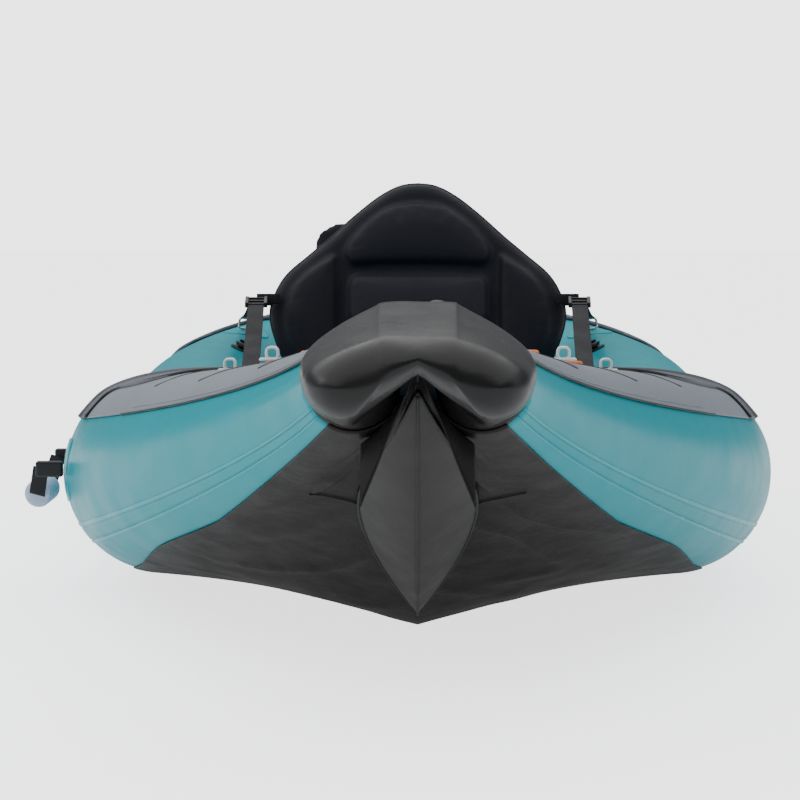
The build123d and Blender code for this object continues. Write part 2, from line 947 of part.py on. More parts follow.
for name, end in ends:
    route = bungee_route(end)
    radii = [min(r, bungee_bend) for r in corner_radii(route, 0.45)]
    print(name, "bungee radii", [round(r, 1) for r in radii])
    with BuildPart() as bungee:
        with BuildLine() as line:
            FilletPolyline(*route, radius=radii)
        path = line.wires()[0]
        with BuildSketch(Plane(origin=path @ 0, z_dir=path % 0)):
            Circle(bungee_radius)
        sweep(path=path)
    exact = math.pi * bungee_radius ** 2 * path.length
    print(name, "bungee", round(path.length, 1), round(bungee.part.volume / exact, 4))
    save(bungee, f"{name}_bungee")

    with BuildPart() as loops:
        for reach, x in ((bungee_near, bungee_near_reach), (bungee_far, bungee_far_reach)):
            for side in (-1, 1):
                cx, cy, cz = bungee_point(end, reach, side * (x - loop_bore / 2))
                with BuildSketch(section_plane(cy)):
                    with Locations((cx, cz)):
                        RectangleRounded(loop_bore + 2 * loop_wall, loop_bore + 2 * loop_wall, 4)
                        RectangleRounded(loop_bore, loop_bore, 2.5, mode=Mode.SUBTRACT)
                extrude(amount=loop_width / 2, both=True)
        add(decks[name].part, mode=Mode.SUBTRACT)
        cut_tubes()
    save(loops, f"{name}_bungee_loops")

with BuildPart() as bungee_locks:
    for name, end in ends:
        middle = bungee_point(end, bungee_near, 0)
        with Locations(middle):
            Box(2 * lock_half_length, *lock_size)
    for deck in decks.values():
        add(deck.part, mode=Mode.SUBTRACT)
save(bungee_locks, "bungee_locks")


# Skeg: a base bonded along the stern keel line, a fin that slides out of it, and a lock pin

skeg_fore = Vector(0, half_length - skeg_front, keel_z(half_length - skeg_front))
skeg_aft = Vector(0, half_length - skeg_back, keel_z(half_length - skeg_back))
skeg_run = skeg_aft - skeg_fore
skeg_way = skeg_run.normalized()
skeg_plane = Plane(origin=skeg_fore, x_dir=(-1, 0, 0), z_dir=skeg_way)
skeg_side = Plane(origin=skeg_fore, x_dir=skeg_way, z_dir=(1, 0, 0))
tongue = skeg_thickness * 2
groove_depth = skeg_base_height / 2
pin_at = (skeg_run.length + joint_gap + 2 * skeg_pin_radius, -groove_depth)

with BuildPart() as skeg_base:
    with BuildSketch(skeg_plane):
        with Locations((0, skin / 4 - skeg_base_height / 2)):
            Rectangle(skeg_base_width, skeg_base_height + skin / 2)
        with Locations((0, -skeg_base_height)):
            blade = skeg_thickness + 2 * fit_clearance
            Rectangle(blade, 2 * groove_depth + 6, mode=Mode.SUBTRACT)
        with Locations((0, -groove_depth)):
            head = skeg_tongue_height + 2 * fit_clearance
            Rectangle(tongue + 2 * fit_clearance, head, mode=Mode.SUBTRACT)
    extrude(amount=skeg_run.length)
    add(hull_bottom.part, mode=Mode.SUBTRACT)
save(skeg_base, "skeg_base")

with BuildPart() as skeg_fin:
    with BuildSketch(Plane.YZ):
        with BuildLine():
            top_fore = skeg_fore + skeg_way * skeg_fin_inset + skeg_side.y_dir * (-groove_depth)
            top_aft = skeg_aft - skeg_way * skeg_fin_inset / 2 + skeg_side.y_dir * (-groove_depth)
            Polyline(
                (top_fore.Y, top_fore.Z),
                (top_aft.Y, top_aft.Z),
                (top_aft.Y + skeg_fin_sweep, skeg_ground_gap + skeg_fin_tip_rise),
                (top_aft.Y + 4, skeg_ground_gap),
                (top_aft.Y - skeg_fin_foot, skeg_ground_gap),
                close=True,
            )
        make_face()
    extrude(amount=skeg_thickness / 2, both=True)
    with BuildSketch(skeg_plane.offset(skeg_fin_inset)):
        with Locations((0, -groove_depth)):
            Rectangle(tongue, skeg_tongue_height)
    extrude(amount=pin_at[0])
    with BuildSketch(skeg_side.offset(-skeg_base_width)):
        with Locations(pin_at):
            Circle(skeg_pin_radius + fit_clearance)
    extrude(amount=2 * skeg_base_width, mode=Mode.SUBTRACT)
save(skeg_fin, "skeg_fin")

with BuildPart() as skeg_pin:
    with BuildSketch(skeg_side.offset(-skeg_pin_length / 2)):
        with Locations(pin_at):
            Circle(skeg_pin_radius)
    extrude(amount=skeg_pin_length)
    with BuildSketch(skeg_side.offset(skeg_pin_length / 2)):
        with Locations(pin_at):
            Circle(skeg_knob_radius)
    extrude(amount=skeg_knob_length)
save(skeg_pin, "skeg_pin")
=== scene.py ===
import math
import bmesh
import bpy
import numpy as np
from mathutils import Matrix, Vector, noise


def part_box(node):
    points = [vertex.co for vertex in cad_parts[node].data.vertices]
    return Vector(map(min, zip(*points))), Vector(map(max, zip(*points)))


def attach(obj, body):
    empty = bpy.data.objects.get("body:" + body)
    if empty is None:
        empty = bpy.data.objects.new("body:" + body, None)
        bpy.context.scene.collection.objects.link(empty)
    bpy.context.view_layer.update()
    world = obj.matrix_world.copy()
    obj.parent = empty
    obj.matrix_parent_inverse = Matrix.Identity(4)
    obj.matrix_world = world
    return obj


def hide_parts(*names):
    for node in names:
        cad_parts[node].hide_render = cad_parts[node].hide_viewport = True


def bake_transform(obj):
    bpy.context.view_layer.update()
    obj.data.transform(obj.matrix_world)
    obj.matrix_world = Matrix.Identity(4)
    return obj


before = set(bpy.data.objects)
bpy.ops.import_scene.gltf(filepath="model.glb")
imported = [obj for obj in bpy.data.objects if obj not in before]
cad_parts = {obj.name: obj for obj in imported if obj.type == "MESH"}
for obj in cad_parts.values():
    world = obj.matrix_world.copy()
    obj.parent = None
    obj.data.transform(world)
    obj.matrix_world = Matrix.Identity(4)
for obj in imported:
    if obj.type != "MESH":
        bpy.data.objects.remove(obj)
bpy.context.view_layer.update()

# One-person inflatable kayak, in metres, in the frame's own axes: +Z up, bow at -Y, port at +X.

# Hull lines, the same as the frame's
half_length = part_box("stern_nose_cone")[1][1]
tube_radius = 0.130
tube_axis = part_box("port_tube")[1][0] - tube_radius
tube_tip_inset = 0.100
tube_tip_radius = 0.040
tube_tip_x = 0.042
tube_tip_height = 0.360
taper_length = 1.150
taper_power = 1.4
rise_length = 1.450
keel_rise_start = 0.765
keel_rise_slope = 0.58
keel_rise_round = 0.030
keel_dip = 0.0015
skin = 0.002
cone_length = 0.200
deck_edge_angle = 57
deck_middle = 0.620
deck_tip = 0.860
deck_tip_reach = 0.340
coaming_width = 0.060
cone_face = half_length - cone_length

sides = (("starboard", -1), ("port", 1))
ends = (("bow", -1), ("stern", 1))


# Camera and lights

camera_lens = 114.75
camera_reach = 2.16
camera_height = 0.485
camera_dip, camera_turn = 4.15, 0.4
room_strength, backdrop_strength = 0.24, 3.2
overhead_strength, overhead_spread, overhead_lean = 3.3, 110, -8


def place_camera():
    camera = bpy.data.cameras.new("camera")
    camera.lens = camera_lens
    camera.sensor_width = 36
    camera.clip_end = 100
    rig = bpy.data.objects.new("camera", camera)
    bpy.context.scene.collection.objects.link(rig)
    rig.location = (0, -half_length - camera_reach, camera_height)
    rig.rotation_euler = (math.radians(90 - camera_dip), 0, math.radians(camera_turn))
    bpy.context.scene.camera = rig


def area_light(name, place, target, size, power, colour):
    light = bpy.data.lights.new(name, "AREA")
    light.shape = "RECTANGLE"
    light.size, light.size_y = size
    light.energy = power
    light.color = colour
    lamp = bpy.data.objects.new(name, light)
    bpy.context.scene.collection.objects.link(lamp)
    lamp.location = place
    lamp.rotation_euler = (Vector(target) - Vector(place)).to_track_quat("-Z", "Y").to_euler()


def studio():
    world = bpy.data.worlds.new("studio")
    world.use_nodes = True
    tree = world.node_tree
    room = tree.nodes["Background"]
    room.inputs[0].default_value = (0.93, 0.96, 1, 1)
    room.inputs[1].default_value = room_strength
    backdrop = tree.nodes.new("ShaderNodeBackground")
    backdrop.inputs[0].default_value = (1, 1, 1, 1)
    backdrop.inputs[1].default_value = backdrop_strength
    seen = tree.nodes.new("ShaderNodeLightPath")
    either = tree.nodes.new("ShaderNodeMixShader")
    tree.links.new(seen.outputs["Is Camera Ray"], either.inputs[0])
    tree.links.new(room.outputs[0], either.inputs[1])
    tree.links.new(backdrop.outputs[0], either.inputs[2])
    tree.links.new(either.outputs[0], tree.nodes["World Output"].inputs[0])
    bpy.context.scene.world = world
    overhead = bpy.data.lights.new("overhead", "SUN")
    overhead.energy = overhead_strength
    overhead.angle = math.radians(overhead_spread)
    lamp = bpy.data.objects.new("overhead", overhead)
    bpy.context.scene.collection.objects.link(lamp)
    lamp.rotation_euler = (math.radians(overhead_lean), math.radians(overhead_lean), 0)
    area_light("left_panel", (-3.4, -1.4, 2.2), (0, -0.5, 0.2), (1.4, 2.4), 26, (1, 0.99, 0.98))
    area_light("right_panel", (3.4, -1.0, 2.0), (0, -0.4, 0.2), (1.2, 2.2), 12, (1, 1, 1))


place_camera()
studio()


# Materials: one builder, so that each finish is a short list of what makes it up

def material(name, colour, rough, **finish):
    """colour and its darker or lighter partner, mixed by noise; bump from grain, weave and creases."""
    mat = bpy.data.materials.new(name)
    mat.use_nodes = True
    tree = mat.node_tree
    shader = tree.nodes["Principled BSDF"]
    link = tree.links.new
    coords = tree.nodes.new("ShaderNodeTexCoord").outputs[finish.get("coords", "Object")]

    def noise_at(scale, detail=3.0):
        node = tree.nodes.new("ShaderNodeTexNoise")
        node.inputs["Scale"].default_value = scale
        node.inputs["Detail"].default_value = detail
        link(coords, node.inputs["Vector"])
        return node.outputs["Fac"]

    def span(value, low, high):
        node = tree.nodes.new("ShaderNodeMapRange")
        node.inputs["From Min"].default_value = 0.3
        node.inputs["From Max"].default_value = 0.7
        node.inputs["To Min"].default_value = low
        node.inputs["To Max"].default_value = high
        link(value, node.inputs["Value"])
        return node.outputs["Result"]

    def wave(scale, direction):
        node = tree.nodes.new("ShaderNodeTexWave")
        node.bands_direction = direction
        node.inputs["Scale"].default_value = scale
        node.inputs["Distortion"].default_value = 0.4
        node.inputs["Detail Scale"].default_value = 2.0
        link(coords, node.inputs["Vector"])
        return node.outputs["Fac"]

    def combine(kind, first, second):
        node = tree.nodes.new("ShaderNodeMath")
        node.operation = kind
        link(first, node.inputs[0])
        link(second, node.inputs[1])
        return node.outputs[0]

    partner = finish.get("partner", [c * 0.8 for c in colour])
    mix = tree.nodes.new("ShaderNodeMix")
    mix.data_type = "RGBA"
    mix.inputs["A"].default_value = (*colour, 1)
    mix.inputs["B"].default_value = (*partner, 1)
    patches = noise_at(finish.get("patch_scale", 6))
    link(span(patches, 0, finish.get("patchy", 0.5)), mix.inputs["Factor"])
    link(mix.outputs["Result"], shader.inputs["Base Color"])
    wear = noise_at(finish.get("wear_scale", 22))
    link(span(wear, rough - finish.get("wear", 0.06), rough + finish.get("wear", 0.06)),
         shader.inputs["Roughness"])

    height = noise_at(finish.get("grain", 400), 2.0)
    if "weave" in finish:
        across, along = finish.get("axes", ("X", "Y"))
        threads = combine("MULTIPLY", wave(finish["weave"], across), wave(finish["weave"], along))
        height = combine("ADD", threads, height)
    if "creases" in finish:
        height = combine("ADD", height, span(noise_at(finish["creases"], 4), 0, 6))
    bump = tree.nodes.new("ShaderNodeBump")
    bump.inputs["Strength"].default_value = finish.get("bump", 0.15)
    bump.inputs["Distance"].default_value = finish.get("depth", 0.0006)
    link(height, bump.inputs["Height"])
    link(bump.outputs["Normal"], shader.inputs["Normal"])

    shader.inputs["Specular IOR Level"].default_value = finish.get("shine", 0.3)
    shader.inputs["Coat Weight"].default_value = finish.get("coat", 0)
    shader.inputs["Coat Roughness"].default_value = finish.get("coat_rough", 0.2)
    shader.inputs["Sheen Weight"].default_value = finish.get("sheen", 0)
    shader.inputs["Sheen Roughness"].default_value = 0.5
    shader.inputs["Metallic"].default_value = finish.get("metal", 0)
    shader.inputs["Transmission Weight"].default_value = finish.get("clear", 0)
    shader.inputs["IOR"].default_value = finish.get("ior", 1.5)
    shader.inputs["Emission Color"].default_value = (*colour, 1)
    shader.inputs["Emission Strength"].default_value = finish.get("glow", 0)
    return mat


finishes = {
    "tube": material("turquoise_coated_fabric", (0, 0.30, 0.355), 0.34, partner=(0, 0.265, 0.32),
                     patch_scale=3, shine=0.12, coat=0.05, coat_rough=0.2, grain=900, bump=0.05,
                     depth=0.0004, creases=5),
    "tape": material("turquoise_seam_tape", (0.002, 0.35, 0.41), 0.3, partner=(0, 0.31, 0.37),
                     shine=0.15, coat=0.08, coat_rough=0.15, grain=700, bump=0.06),
    "skin": material("black_bottom_fabric", (0.013, 0.0115, 0.011), 0.44, partner=(0.021, 0.019, 0.018),
                     patch_scale=5, shine=0.13, grain=600, bump=0.22,
                     depth=0.0012, creases=14),
    "cone": material("black_cone_moulding", (0.006, 0.006, 0.0065), 0.33, partner=(0.009, 0.009, 0.0095),
                     patch_scale=9, wear=0.08, grain=520, bump=0.16, depth=0.0005, creases=18),
    "keel": material("charcoal_keel_moulding", (0.030, 0.028, 0.027), 0.46,
                     partner=(0.024, 0.023, 0.022), grain=640, bump=0.2, creases=9),
    "line": material("dark_seam_line", (0.018, 0.02, 0.022), 0.5, grain=300),
    "deck": material("grey_deck_fabric", (0.21, 0.235, 0.27), 0.5, partner=(0.18, 0.20, 0.235),
                     weave=420, bump=0.18, creases=8),
    "rim": material("dark_grey_rim_fabric", (0.10, 0.11, 0.13), 0.55, weave=420, bump=0.2),
    "bungee": material("orange_braided_cord", (0.80, 0.13, 0.01), 0.55, partner=(0.88, 0.25, 0.06),
                       patch_scale=260, patchy=0.8, weave=520, bump=0.5, sheen=0.2),
    "white": material("white_moulded_plastic", (0.82, 0.84, 0.86), 0.4, grain=300, bump=0.08),
    "webbing": material("black_ribbed_webbing", (0.012, 0.012, 0.014), 0.62,
                        partner=(0.018, 0.018, 0.021), weave=520, bump=0.3, shine=0.15),
    "buckle": material("black_buckle_plastic", (0.014, 0.014, 0.016), 0.38, grain=500, bump=0.1),
    "grip": material("pale_blue_grip", (0.60, 0.70, 0.92), 0.3, partner=(0.72, 0.79, 0.95),
                     clear=0.25, coat=0.3, grain=300, bump=0.06),
    "seat": material("navy_moulded_foam", (0.0085, 0.0085, 0.014), 0.56, partner=(0.011, 0.011, 0.018),
                     weave=460, axes=("X", "Z"), bump=0.2, shine=0.22, creases=20),
    "pad": material("navy_centre_cloth", (0.016, 0.016, 0.024), 0.62, partner=(0.020, 0.020, 0.029),
                    weave=330, axes=("X", "Z"), bump=0.3, shine=0.25),
    # Lighter slate for the rod round the seat back's rim: a seam line that also carries a painted edge
    # highlight
    "seam_and_painted_highlight": material("slate_seam_and_painted_highlight", (0.02, 0.022, 0.03), 0.5, grain=400, bump=0.2),
    "floor": material("grey_floor_fabric", (0.16, 0.17, 0.185), 0.48, weave=260, bump=0.3),
    "steel": material("polished_ring_steel", (0.62, 0.62, 0.64), 0.22, metal=1, grain=300, bump=0.04),
    "valve": material("black_valve_plastic", (0.02, 0.02, 0.022), 0.36, grain=450, bump=0.12),
    "stripe": material("white_stripe_film", (0.86, 0.90, 0.92), 0.35, coat=0.3, grain=500, bump=0.04),
    "thread": material("pale_thread", (0.30, 0.33, 0.37), 0.7, grain=900, bump=0.3),
}


# Hull lines as functions of y, as the frame has them

def from_tip(y):
    return half_length - abs(y)


def taper(y):
    return min(max((from_tip(y) - tube_tip_inset) / taper_length, 0), 1)


def swell(y):
    return math.sin(taper(y) * math.pi / 2) ** taper_power


def tube_x(y):
    return tube_tip_x + (tube_axis - tube_tip_x) * swell(y)


def tube_r(y):
    return tube_tip_radius + (tube_radius - tube_tip_radius) * swell(y)


def tube_z(y):
    level = tube_radius + skin
    share = max(1 - (from_tip(y) - tube_tip_inset) / rise_length, 0)
    return level + (tube_tip_height - level) * share ** 2


def keel_z(y):
    climb = keel_rise_slope * (keel_rise_start - from_tip(y))
    return (climb + math.hypot(climb, keel_rise_round)) / 2 - keel_dip


def on_tube(y, side, angle, out=0.0):
    """A point on a tube's section at y, at an angle outboard from straight up."""
    a = math.radians(angle)
    r = tube_r(y) + out
    return Vector((side * (tube_x(y) + r * math.sin(a)), y, tube_z(y) + r * math.cos(a)))


def touch_below(y):
    """Angle at which the bottom skin leaves the tube for the keel."""
    dx, dz = tube_x(y), tube_z(y) - keel_z(y)
    spread = math.asin((tube_r(y) + skin) / math.hypot(dx, dz))
    return 180 - math.degrees(math.atan2(dz, dx) - spread)


def ease(value):
    value = min(max(value, 0), 1)
    return value * value * (3 - 2 * value)


# Mesh helpers

def mesh_piece(name, rows, mat, close_rows=False, close_ends=False, thickness=0, smooth=True):
    """A surface through rows of points, as a closed solid once it has a thickness or caps."""
    mesh = bpy.data.meshes.new(name)
    wide = len(rows[0])
    points = [tuple(p) for row in rows for p in row]
    faces = []
    for i in range(len(rows) - 1):
        for j in range(wide if close_rows else wide - 1):
            k = (j + 1) % wide
            faces.append((i * wide + j, i * wide + k, (i + 1) * wide + k, (i + 1) * wide + j))
    if close_ends:
        faces.append(tuple(range(wide)))
        last = (len(rows) - 1) * wide
        faces.append(tuple(reversed(range(last, last + wide))))
    mesh.from_pydata(points, [], faces)
    mesh.materials.append(mat)
    piece = bpy.data.objects.new(name, mesh)
    bpy.context.scene.collection.objects.link(piece)
    tidy_mesh(piece, smooth)
    if thickness:
        solid = piece.modifiers.new("thickness", "SOLIDIFY")
        solid.thickness = abs(thickness)
        solid.offset = math.copysign(1, thickness)
        solid.use_even_offset = True
        settle(piece)
    return piece


def tidy_mesh(piece, smooth=True):
    form = bmesh.new()
    form.from_mesh(piece.data)
    bmesh.ops.remove_doubles(form, verts=form.verts, dist=1e-5)
    bmesh.ops.recalc_face_normals(form, faces=form.faces)
    for face in form.faces:
        face.smooth = smooth
    form.to_mesh(piece.data)
    form.free()


def settle(piece):
    """Turn a piece with modifiers into a plain mesh."""
    graph = bpy.context.evaluated_depsgraph_get()
    mesh = bpy.data.meshes.new_from_object(piece.evaluated_get(graph))
    piece.modifiers.clear()
    piece.data = mesh
    return piece


def joined(name, pieces):
    """Several pieces as one, keeping each one's material."""
    form = bmesh.new()
    mats = []
    for piece in pieces:
        mesh = piece.data
        offset = len(mats)
        mats.extend(mesh.materials)
        before = len(form.faces)
        form.from_mesh(mesh)
        form.faces.ensure_lookup_table()
        for face in form.faces[before:]:
            face.material_index += offset
        bpy.data.objects.remove(piece)
    mesh = bpy.data.meshes.new(name)
    form.to_mesh(mesh)
    form.free()
    for mat in mats:
        mesh.materials.append(mat)
    whole = bpy.data.objects.new(name, mesh)
    bpy.context.scene.collection.objects.link(whole)
    return whole


def cord_curve(points, order=3):
    curve = bpy.data.curves.new("run", "CURVE")
    curve.dimensions = "3D"
    spline = curve.splines.new("NURBS")
    spline.points.add(len(points) - 1)
    for knot, point in zip(spline.points, points):
        knot.co = (*point, 1)
    spline.order_u = order
    spline.use_endpoint_u = True
    spline.resolution_u = 12
    return curve


def rod(name, points, radius, mat, order=3, sides_round=6):
    """A round bar along a smooth line through points, as a closed mesh."""
    curve = cord_curve(points, order)
    curve.bevel_depth = radius
    curve.bevel_resolution = sides_round
    curve.use_fill_caps = True
    holder = bpy.data.objects.new("holder", curve)
    bpy.context.scene.collection.objects.link(holder)
    graph = bpy.context.evaluated_depsgraph_get()
    mesh = bpy.data.meshes.new_from_object(holder.evaluated_get(graph))
    bpy.data.objects.remove(holder)
    mesh.materials.clear()
    mesh.materials.append(mat)
    piece = bpy.data.objects.new(name, mesh)
    bpy.context.scene.collection.objects.link(piece)
    tidy_mesh(piece)
    return piece


def block(name, centre, size, mat, bevel=0.001, turn=None):
    """A bevelled block, turned by a 3 by 3 matrix if one is given."""
    form = bmesh.new()
    bmesh.ops.create_cube(form, size=1)
    bmesh.ops.scale(form, verts=form.verts, vec=size)
    bmesh.ops.bevel(form, geom=form.edges[:], offset=bevel, segments=3, profile=0.5, affect="EDGES")
    place = Matrix.Translation(centre) @ (turn.to_4x4() if turn else Matrix())
    bmesh.ops.transform(form, matrix=place, verts=form.verts)
    mesh = bpy.data.meshes.new(name)
    form.to_mesh(mesh)
    form.free()
    mesh.materials.append(mat)
    piece = bpy.data.objects.new(name, mesh)
    bpy.context.scene.collection.objects.link(piece)
    tidy_mesh(piece)
    for poly in mesh.polygons:
        poly.use_smooth = False
    return piece


# Geometry Nodes: one tree that sets a small shape along a line at a steady pitch

def row_tree():
    tree = bpy.data.node_groups.new("row_along_line", "GeometryNodeTree")
    face = tree.interface
    face.new_socket("Geometry", in_out="INPUT", socket_type="NodeSocketGeometry")
    for name, kind in (("Pitch", "Float"), ("Shape", "Object"), ("Finish", "Material")):
        face.new_socket(name, in_out="INPUT", socket_type=f"NodeSocket{kind}")
    face.new_socket("Geometry", in_out="OUTPUT", socket_type="NodeSocketGeometry")
    make = tree.nodes.new
    start, end = make("NodeGroupInput"), make("NodeGroupOutput")
    resample = make("GeometryNodeResampleCurve")
    resample.mode = "LENGTH"
    shape = make("GeometryNodeObjectInfo")
    shape.transform_space = "ORIGINAL"
    tangent = make("GeometryNodeInputTangent")
    aim = make("FunctionNodeAlignRotationToVector")
    aim.axis = "X"
    scatter = make("GeometryNodeInstanceOnPoints")
    real = make("GeometryNodeRealizeInstances")
    paint = make("GeometryNodeSetMaterial")
    link = tree.links.new
    link(start.outputs["Geometry"], resample.inputs["Curve"])
    link(start.outputs["Pitch"], resample.inputs["Length"])
    link(start.outputs["Shape"], shape.inputs["Object"])
    link(tangent.outputs["Tangent"], aim.inputs["Vector"])
    link(resample.outputs["Curve"], scatter.inputs["Points"])
    link(shape.outputs["Geometry"], scatter.inputs["Instance"])
    link(aim.outputs["Rotation"], scatter.inputs["Rotation"])
    link(scatter.outputs["Instances"], real.inputs["Geometry"])
    link(real.outputs["Geometry"], paint.inputs["Geometry"])
    link(start.outputs["Finish"], paint.inputs["Material"])
    link(paint.outputs["Geometry"], end.inputs["Geometry"])
    return tree


row_nodes = row_tree()


def capsule(length, radius):
    """A short rounded stitch along X, as a hidden shape for the row tree."""
    form = bmesh.new()
    bmesh.ops.create_uvsphere(form, u_segments=6, v_segments=5, radius=radius)
    turn = Matrix.Rotation(math.pi / 2, 4, "Y")
    bmesh.ops.transform(form, matrix=turn, verts=form.verts)
    for vert in form.verts:
        vert.co.x += math.copysign(length / 2 - radius, vert.co.x) if abs(vert.co.x) > 1e-6 else 0
    return shape_object("stitch_shape", form)


def shape_object(name, form):
    mesh = bpy.data.meshes.new(name)
    form.to_mesh(mesh)
    form.free()
    return bpy.data.objects.new(name, mesh)


def row(name, points, pitch, shape, mat, curved=True):
    """The shape repeated along a line through points, as a plain mesh."""
    holder = bpy.data.objects.new("holder", cord_curve(points, 3 if curved else 2))
    bpy.context.scene.collection.objects.link(holder)
    mod = holder.modifiers.new("row", "NODES")
    mod.node_group = row_nodes
    sockets = {s.name: s.identifier for s in row_nodes.interface.items_tree if s.in_out == "INPUT"}
    mod[sockets["Pitch"]] = pitch
    mod[sockets["Shape"]] = shape
    mod[sockets["Finish"]] = mat
    graph = bpy.context.evaluated_depsgraph_get()
    mesh = bpy.data.meshes.new_from_object(holder.evaluated_get(graph))
    bpy.data.objects.remove(holder)
    for poly in mesh.polygons:
        poly.use_smooth = True
    piece = bpy.data.objects.new(name, mesh)
    bpy.context.scene.collection.objects.link(piece)
    return piece


stitch = capsule(0.0042, 0.0006)


# Side tubes

def tube_relief(y, side, angle):
    """The small waviness of blown-up fabric, stronger where the tube gathers to its tips."""
    wave = noise.noise(Vector((side * 3, y * 3.2, angle / 26))) * 0.0009
    gather = ease((0.55 - from_tip(y)) / 0.4) * 0.0012
    return wave + gather * noise.noise(Vector((side, y * 9, angle / 11))) - 0.0004


def tube_piece(name, side):
    rows = []
    count, around = 300, 112
    end = cone_face - 0.002
    for i in range(count + 1):
        y = -end + 2 * end * i / count
        ring = []
        for j in range(around):
            angle = 360 * j / around
            ring.append(on_tube(y, side, angle, tube_relief(y, side, angle)))
        rows.append(ring)
    return mesh_piece(name, rows, finishes["tube"], close_rows=True, close_ends=True)


def strip(name, side, low, high, first, last, out, mat, count=220, across=6):
    """A strip stuck on a tube between two angles, its edges rounded down to the tube."""
    rows = []
    for i in range(count + 1):
        y = first + (last - first) * i / count
        line = []
        for j in range(across + 1):
            lift = out if 0 < j < across else -0.0008
            share = min(max((j - 0.5) / (across - 1), 0), 1)
            angle = low + (high - low) * share
            line.append(on_tube(y, side, angle, lift + tube_relief(y, side, angle)))
        for j in range(across, -1, -1):
            share = min(max((j - 0.5) / (across - 1), 0), 1)
            line.append(on_tube(y, side, low + (high - low) * share, -0.003))
        rows.append(line)
    return mesh_piece(name, rows, mat, close_rows=True, close_ends=True)


# Bands of each seam: its two angles, how far it stands off the tube, and its finish
seam_bands = ((120, 123, 0.0013, "tape"), (123, 133, 0.0008, "tube"), (133, 135, 0.0013, "tape"))

for name, side in sides:
    tube = tube_piece(f"{name}_air_tube", side)
    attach(tube, "hull")
    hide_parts(f"{name}_tube")
    seam = joined(f"{name}_seam", [
        strip("seam_band", side, low, high, -cone_face, cone_face, lift, finishes[finish])
        for low, high, lift, finish in seam_bands
    ])
    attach(seam, "hull")
    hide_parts(f"{name}_seam_tape")


# Bottom skin: it wraps each tube's underside and runs to the keel line, with soft pull folds

skin_cloth = 0.0018
wrap_share = 0.3
wrap_angle, wrap_growth, wrap_least = 149, 13, 9
throat_start, throat_run, throat_half = 0.163, 0.062, 0.052
weld_start, weld_run = (0.060, 0.440), (0.050, 0.030)


def skin_wrap(y):
    """Angle on the tube where the skin's edge lies."""
    grown = wrap_angle + wrap_growth * ease((from_tip(y) - cone_length) / 0.5)
    return min(touch_below(y) - wrap_least, grown)


def bottom_point(y, side, share):
    """share 0 is the edge on the tube, 1 is the keel line."""
    touch, edge = touch_below(y), skin_wrap(y)
    if share < wrap_share:
        return on_tube(y, side, edge + (touch - edge) * share / wrap_share, skin)
    start = on_tube(y, side, touch, skin)
    run = (share - wrap_share) / (1 - wrap_share)
    return start.lerp(Vector((0, y, keel_z(y))), run)


def fold(y, side, share):
    """Height of the folds: strong near the bow and stern keels, none on the flat."""
    reach = from_tip(y)
    strength = ease((0.95 - reach) / 0.5) * ease((share - 0.22) / 0.2) * ease((1.02 - share) / 0.12)
    strength *= 1 - 0.9 * math.exp(-((reach - 0.425) / 0.03) ** 2)
    if y > 0:
        strength *= 1 - ease((share - 0.4) / 0.15)
    fan = Vector((side * 1.7, reach * 7 + share * 3.2, share * 1.6 - reach * 1.5))
    deep = 1 - abs(noise.noise(fan)) * 2.6
    fine = noise.noise(Vector((side * 5, reach * 22 + share * 9, share * 7)))
    return strength * (0.0068 * max(deep, 0) ** 3 + 0.0020 * fine)


def bottom_piece():
    rows = []
    count, across = 300, 64
    for i in range(count + 1):
        y = (cone_face + 0.006) * (2 * i / count - 1)
        line = []
        for side, order in ((-1, range(across)), (1, range(across, -1, -1))):
            for j in order:
                share = j / across
                point = bottom_point(y, side, share)
                point.z -= fold(y, side, share)
                point.z = max(point.z, 0.0)
                line.append(point)
        rows.append(line)
    return mesh_piece("bottom_skin", rows, finishes["skin"], thickness=-skin_cloth)


def throat_piece(end):
    """The skin's middle, drawn forward and up under the nose cone's arch in soft folds."""
    rows = []
    for i in range(25):
        reach = throat_start + throat_run * i / 24
        y = end * (half_length - reach)
        slope = math.tan(math.radians(180 - touch_below(y)))
        line = []
        for j in range(-30, 31):
            x = throat_half * j / 30
            fan = math.cos(j * 0.42) * math.exp(-abs(j) / 16)
            pleat = 0.0022 * fan * ease((throat_start + throat_run - reach) / 0.05)
            z = keel_z(y) + slope * abs(x) - 0.0008 + pleat
            line.append(Vector((x, y, z)))
        rows.append(line)
    return mesh_piece("throat", rows, finishes["skin"], thickness=-skin_cloth)


def tip_cap(end, side):
    """The skin folded over a tube's tip, inside the nose cone."""
    rows = []
    y = end * cone_face
    for i in range(13):
        turn = math.pi / 2 * i / 12
        forward = y + end * 0.030 * math.sin(turn)
        radius = (tube_r(y) - 0.0005) * math.cos(turn)
        rows.append([Vector((side * (tube_x(y) + radius * math.sin(a)), forward,
                             tube_z(y) + 0.006 * math.sin(turn) + radius * math.cos(a)))
                     for a in (2 * math.pi * k / 48 for k in range(48))])
    return mesh_piece("tip_cap", rows, finishes["skin"], close_rows=True, close_ends=True)


def web_z(y, x):
    return keel_z(y) + math.tan(math.radians(180 - touch_below(y))) * x


def weld_line(end, side):
    """A weld from the cutwater's widest point out towards the tube."""
    points = []
    for i in range(9):
        t = i / 8
        y = end * (half_length - weld_start[1] + weld_run[1] * t)
        x = weld_start[0] + weld_run[0] * t
        start = on_tube(y, side, touch_below(y), skin)
        share = wrap_share + (1 - wrap_share) * (1 - x / abs(start.x))
        point = bottom_point(y, side, share)
        points.append(point - Vector((0, 0, fold(y, side, share) + 0.0014)))
    return rod("weld", points, 0.0009, finishes["line"])


caps = [tip_cap(end, side) for end in (-1, 1) for side in (-1, 1)]
bottom = joined("bottom_skin", [bottom_piece(), throat_piece(-1), throat_piece(1), *caps,
                                weld_line(-1, -1), weld_line(-1, 1)])
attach(bottom, "hull")
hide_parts("hull_bottom")


# Nose cones: a broad duck-bill cap with two rounded lobes over the tube tips

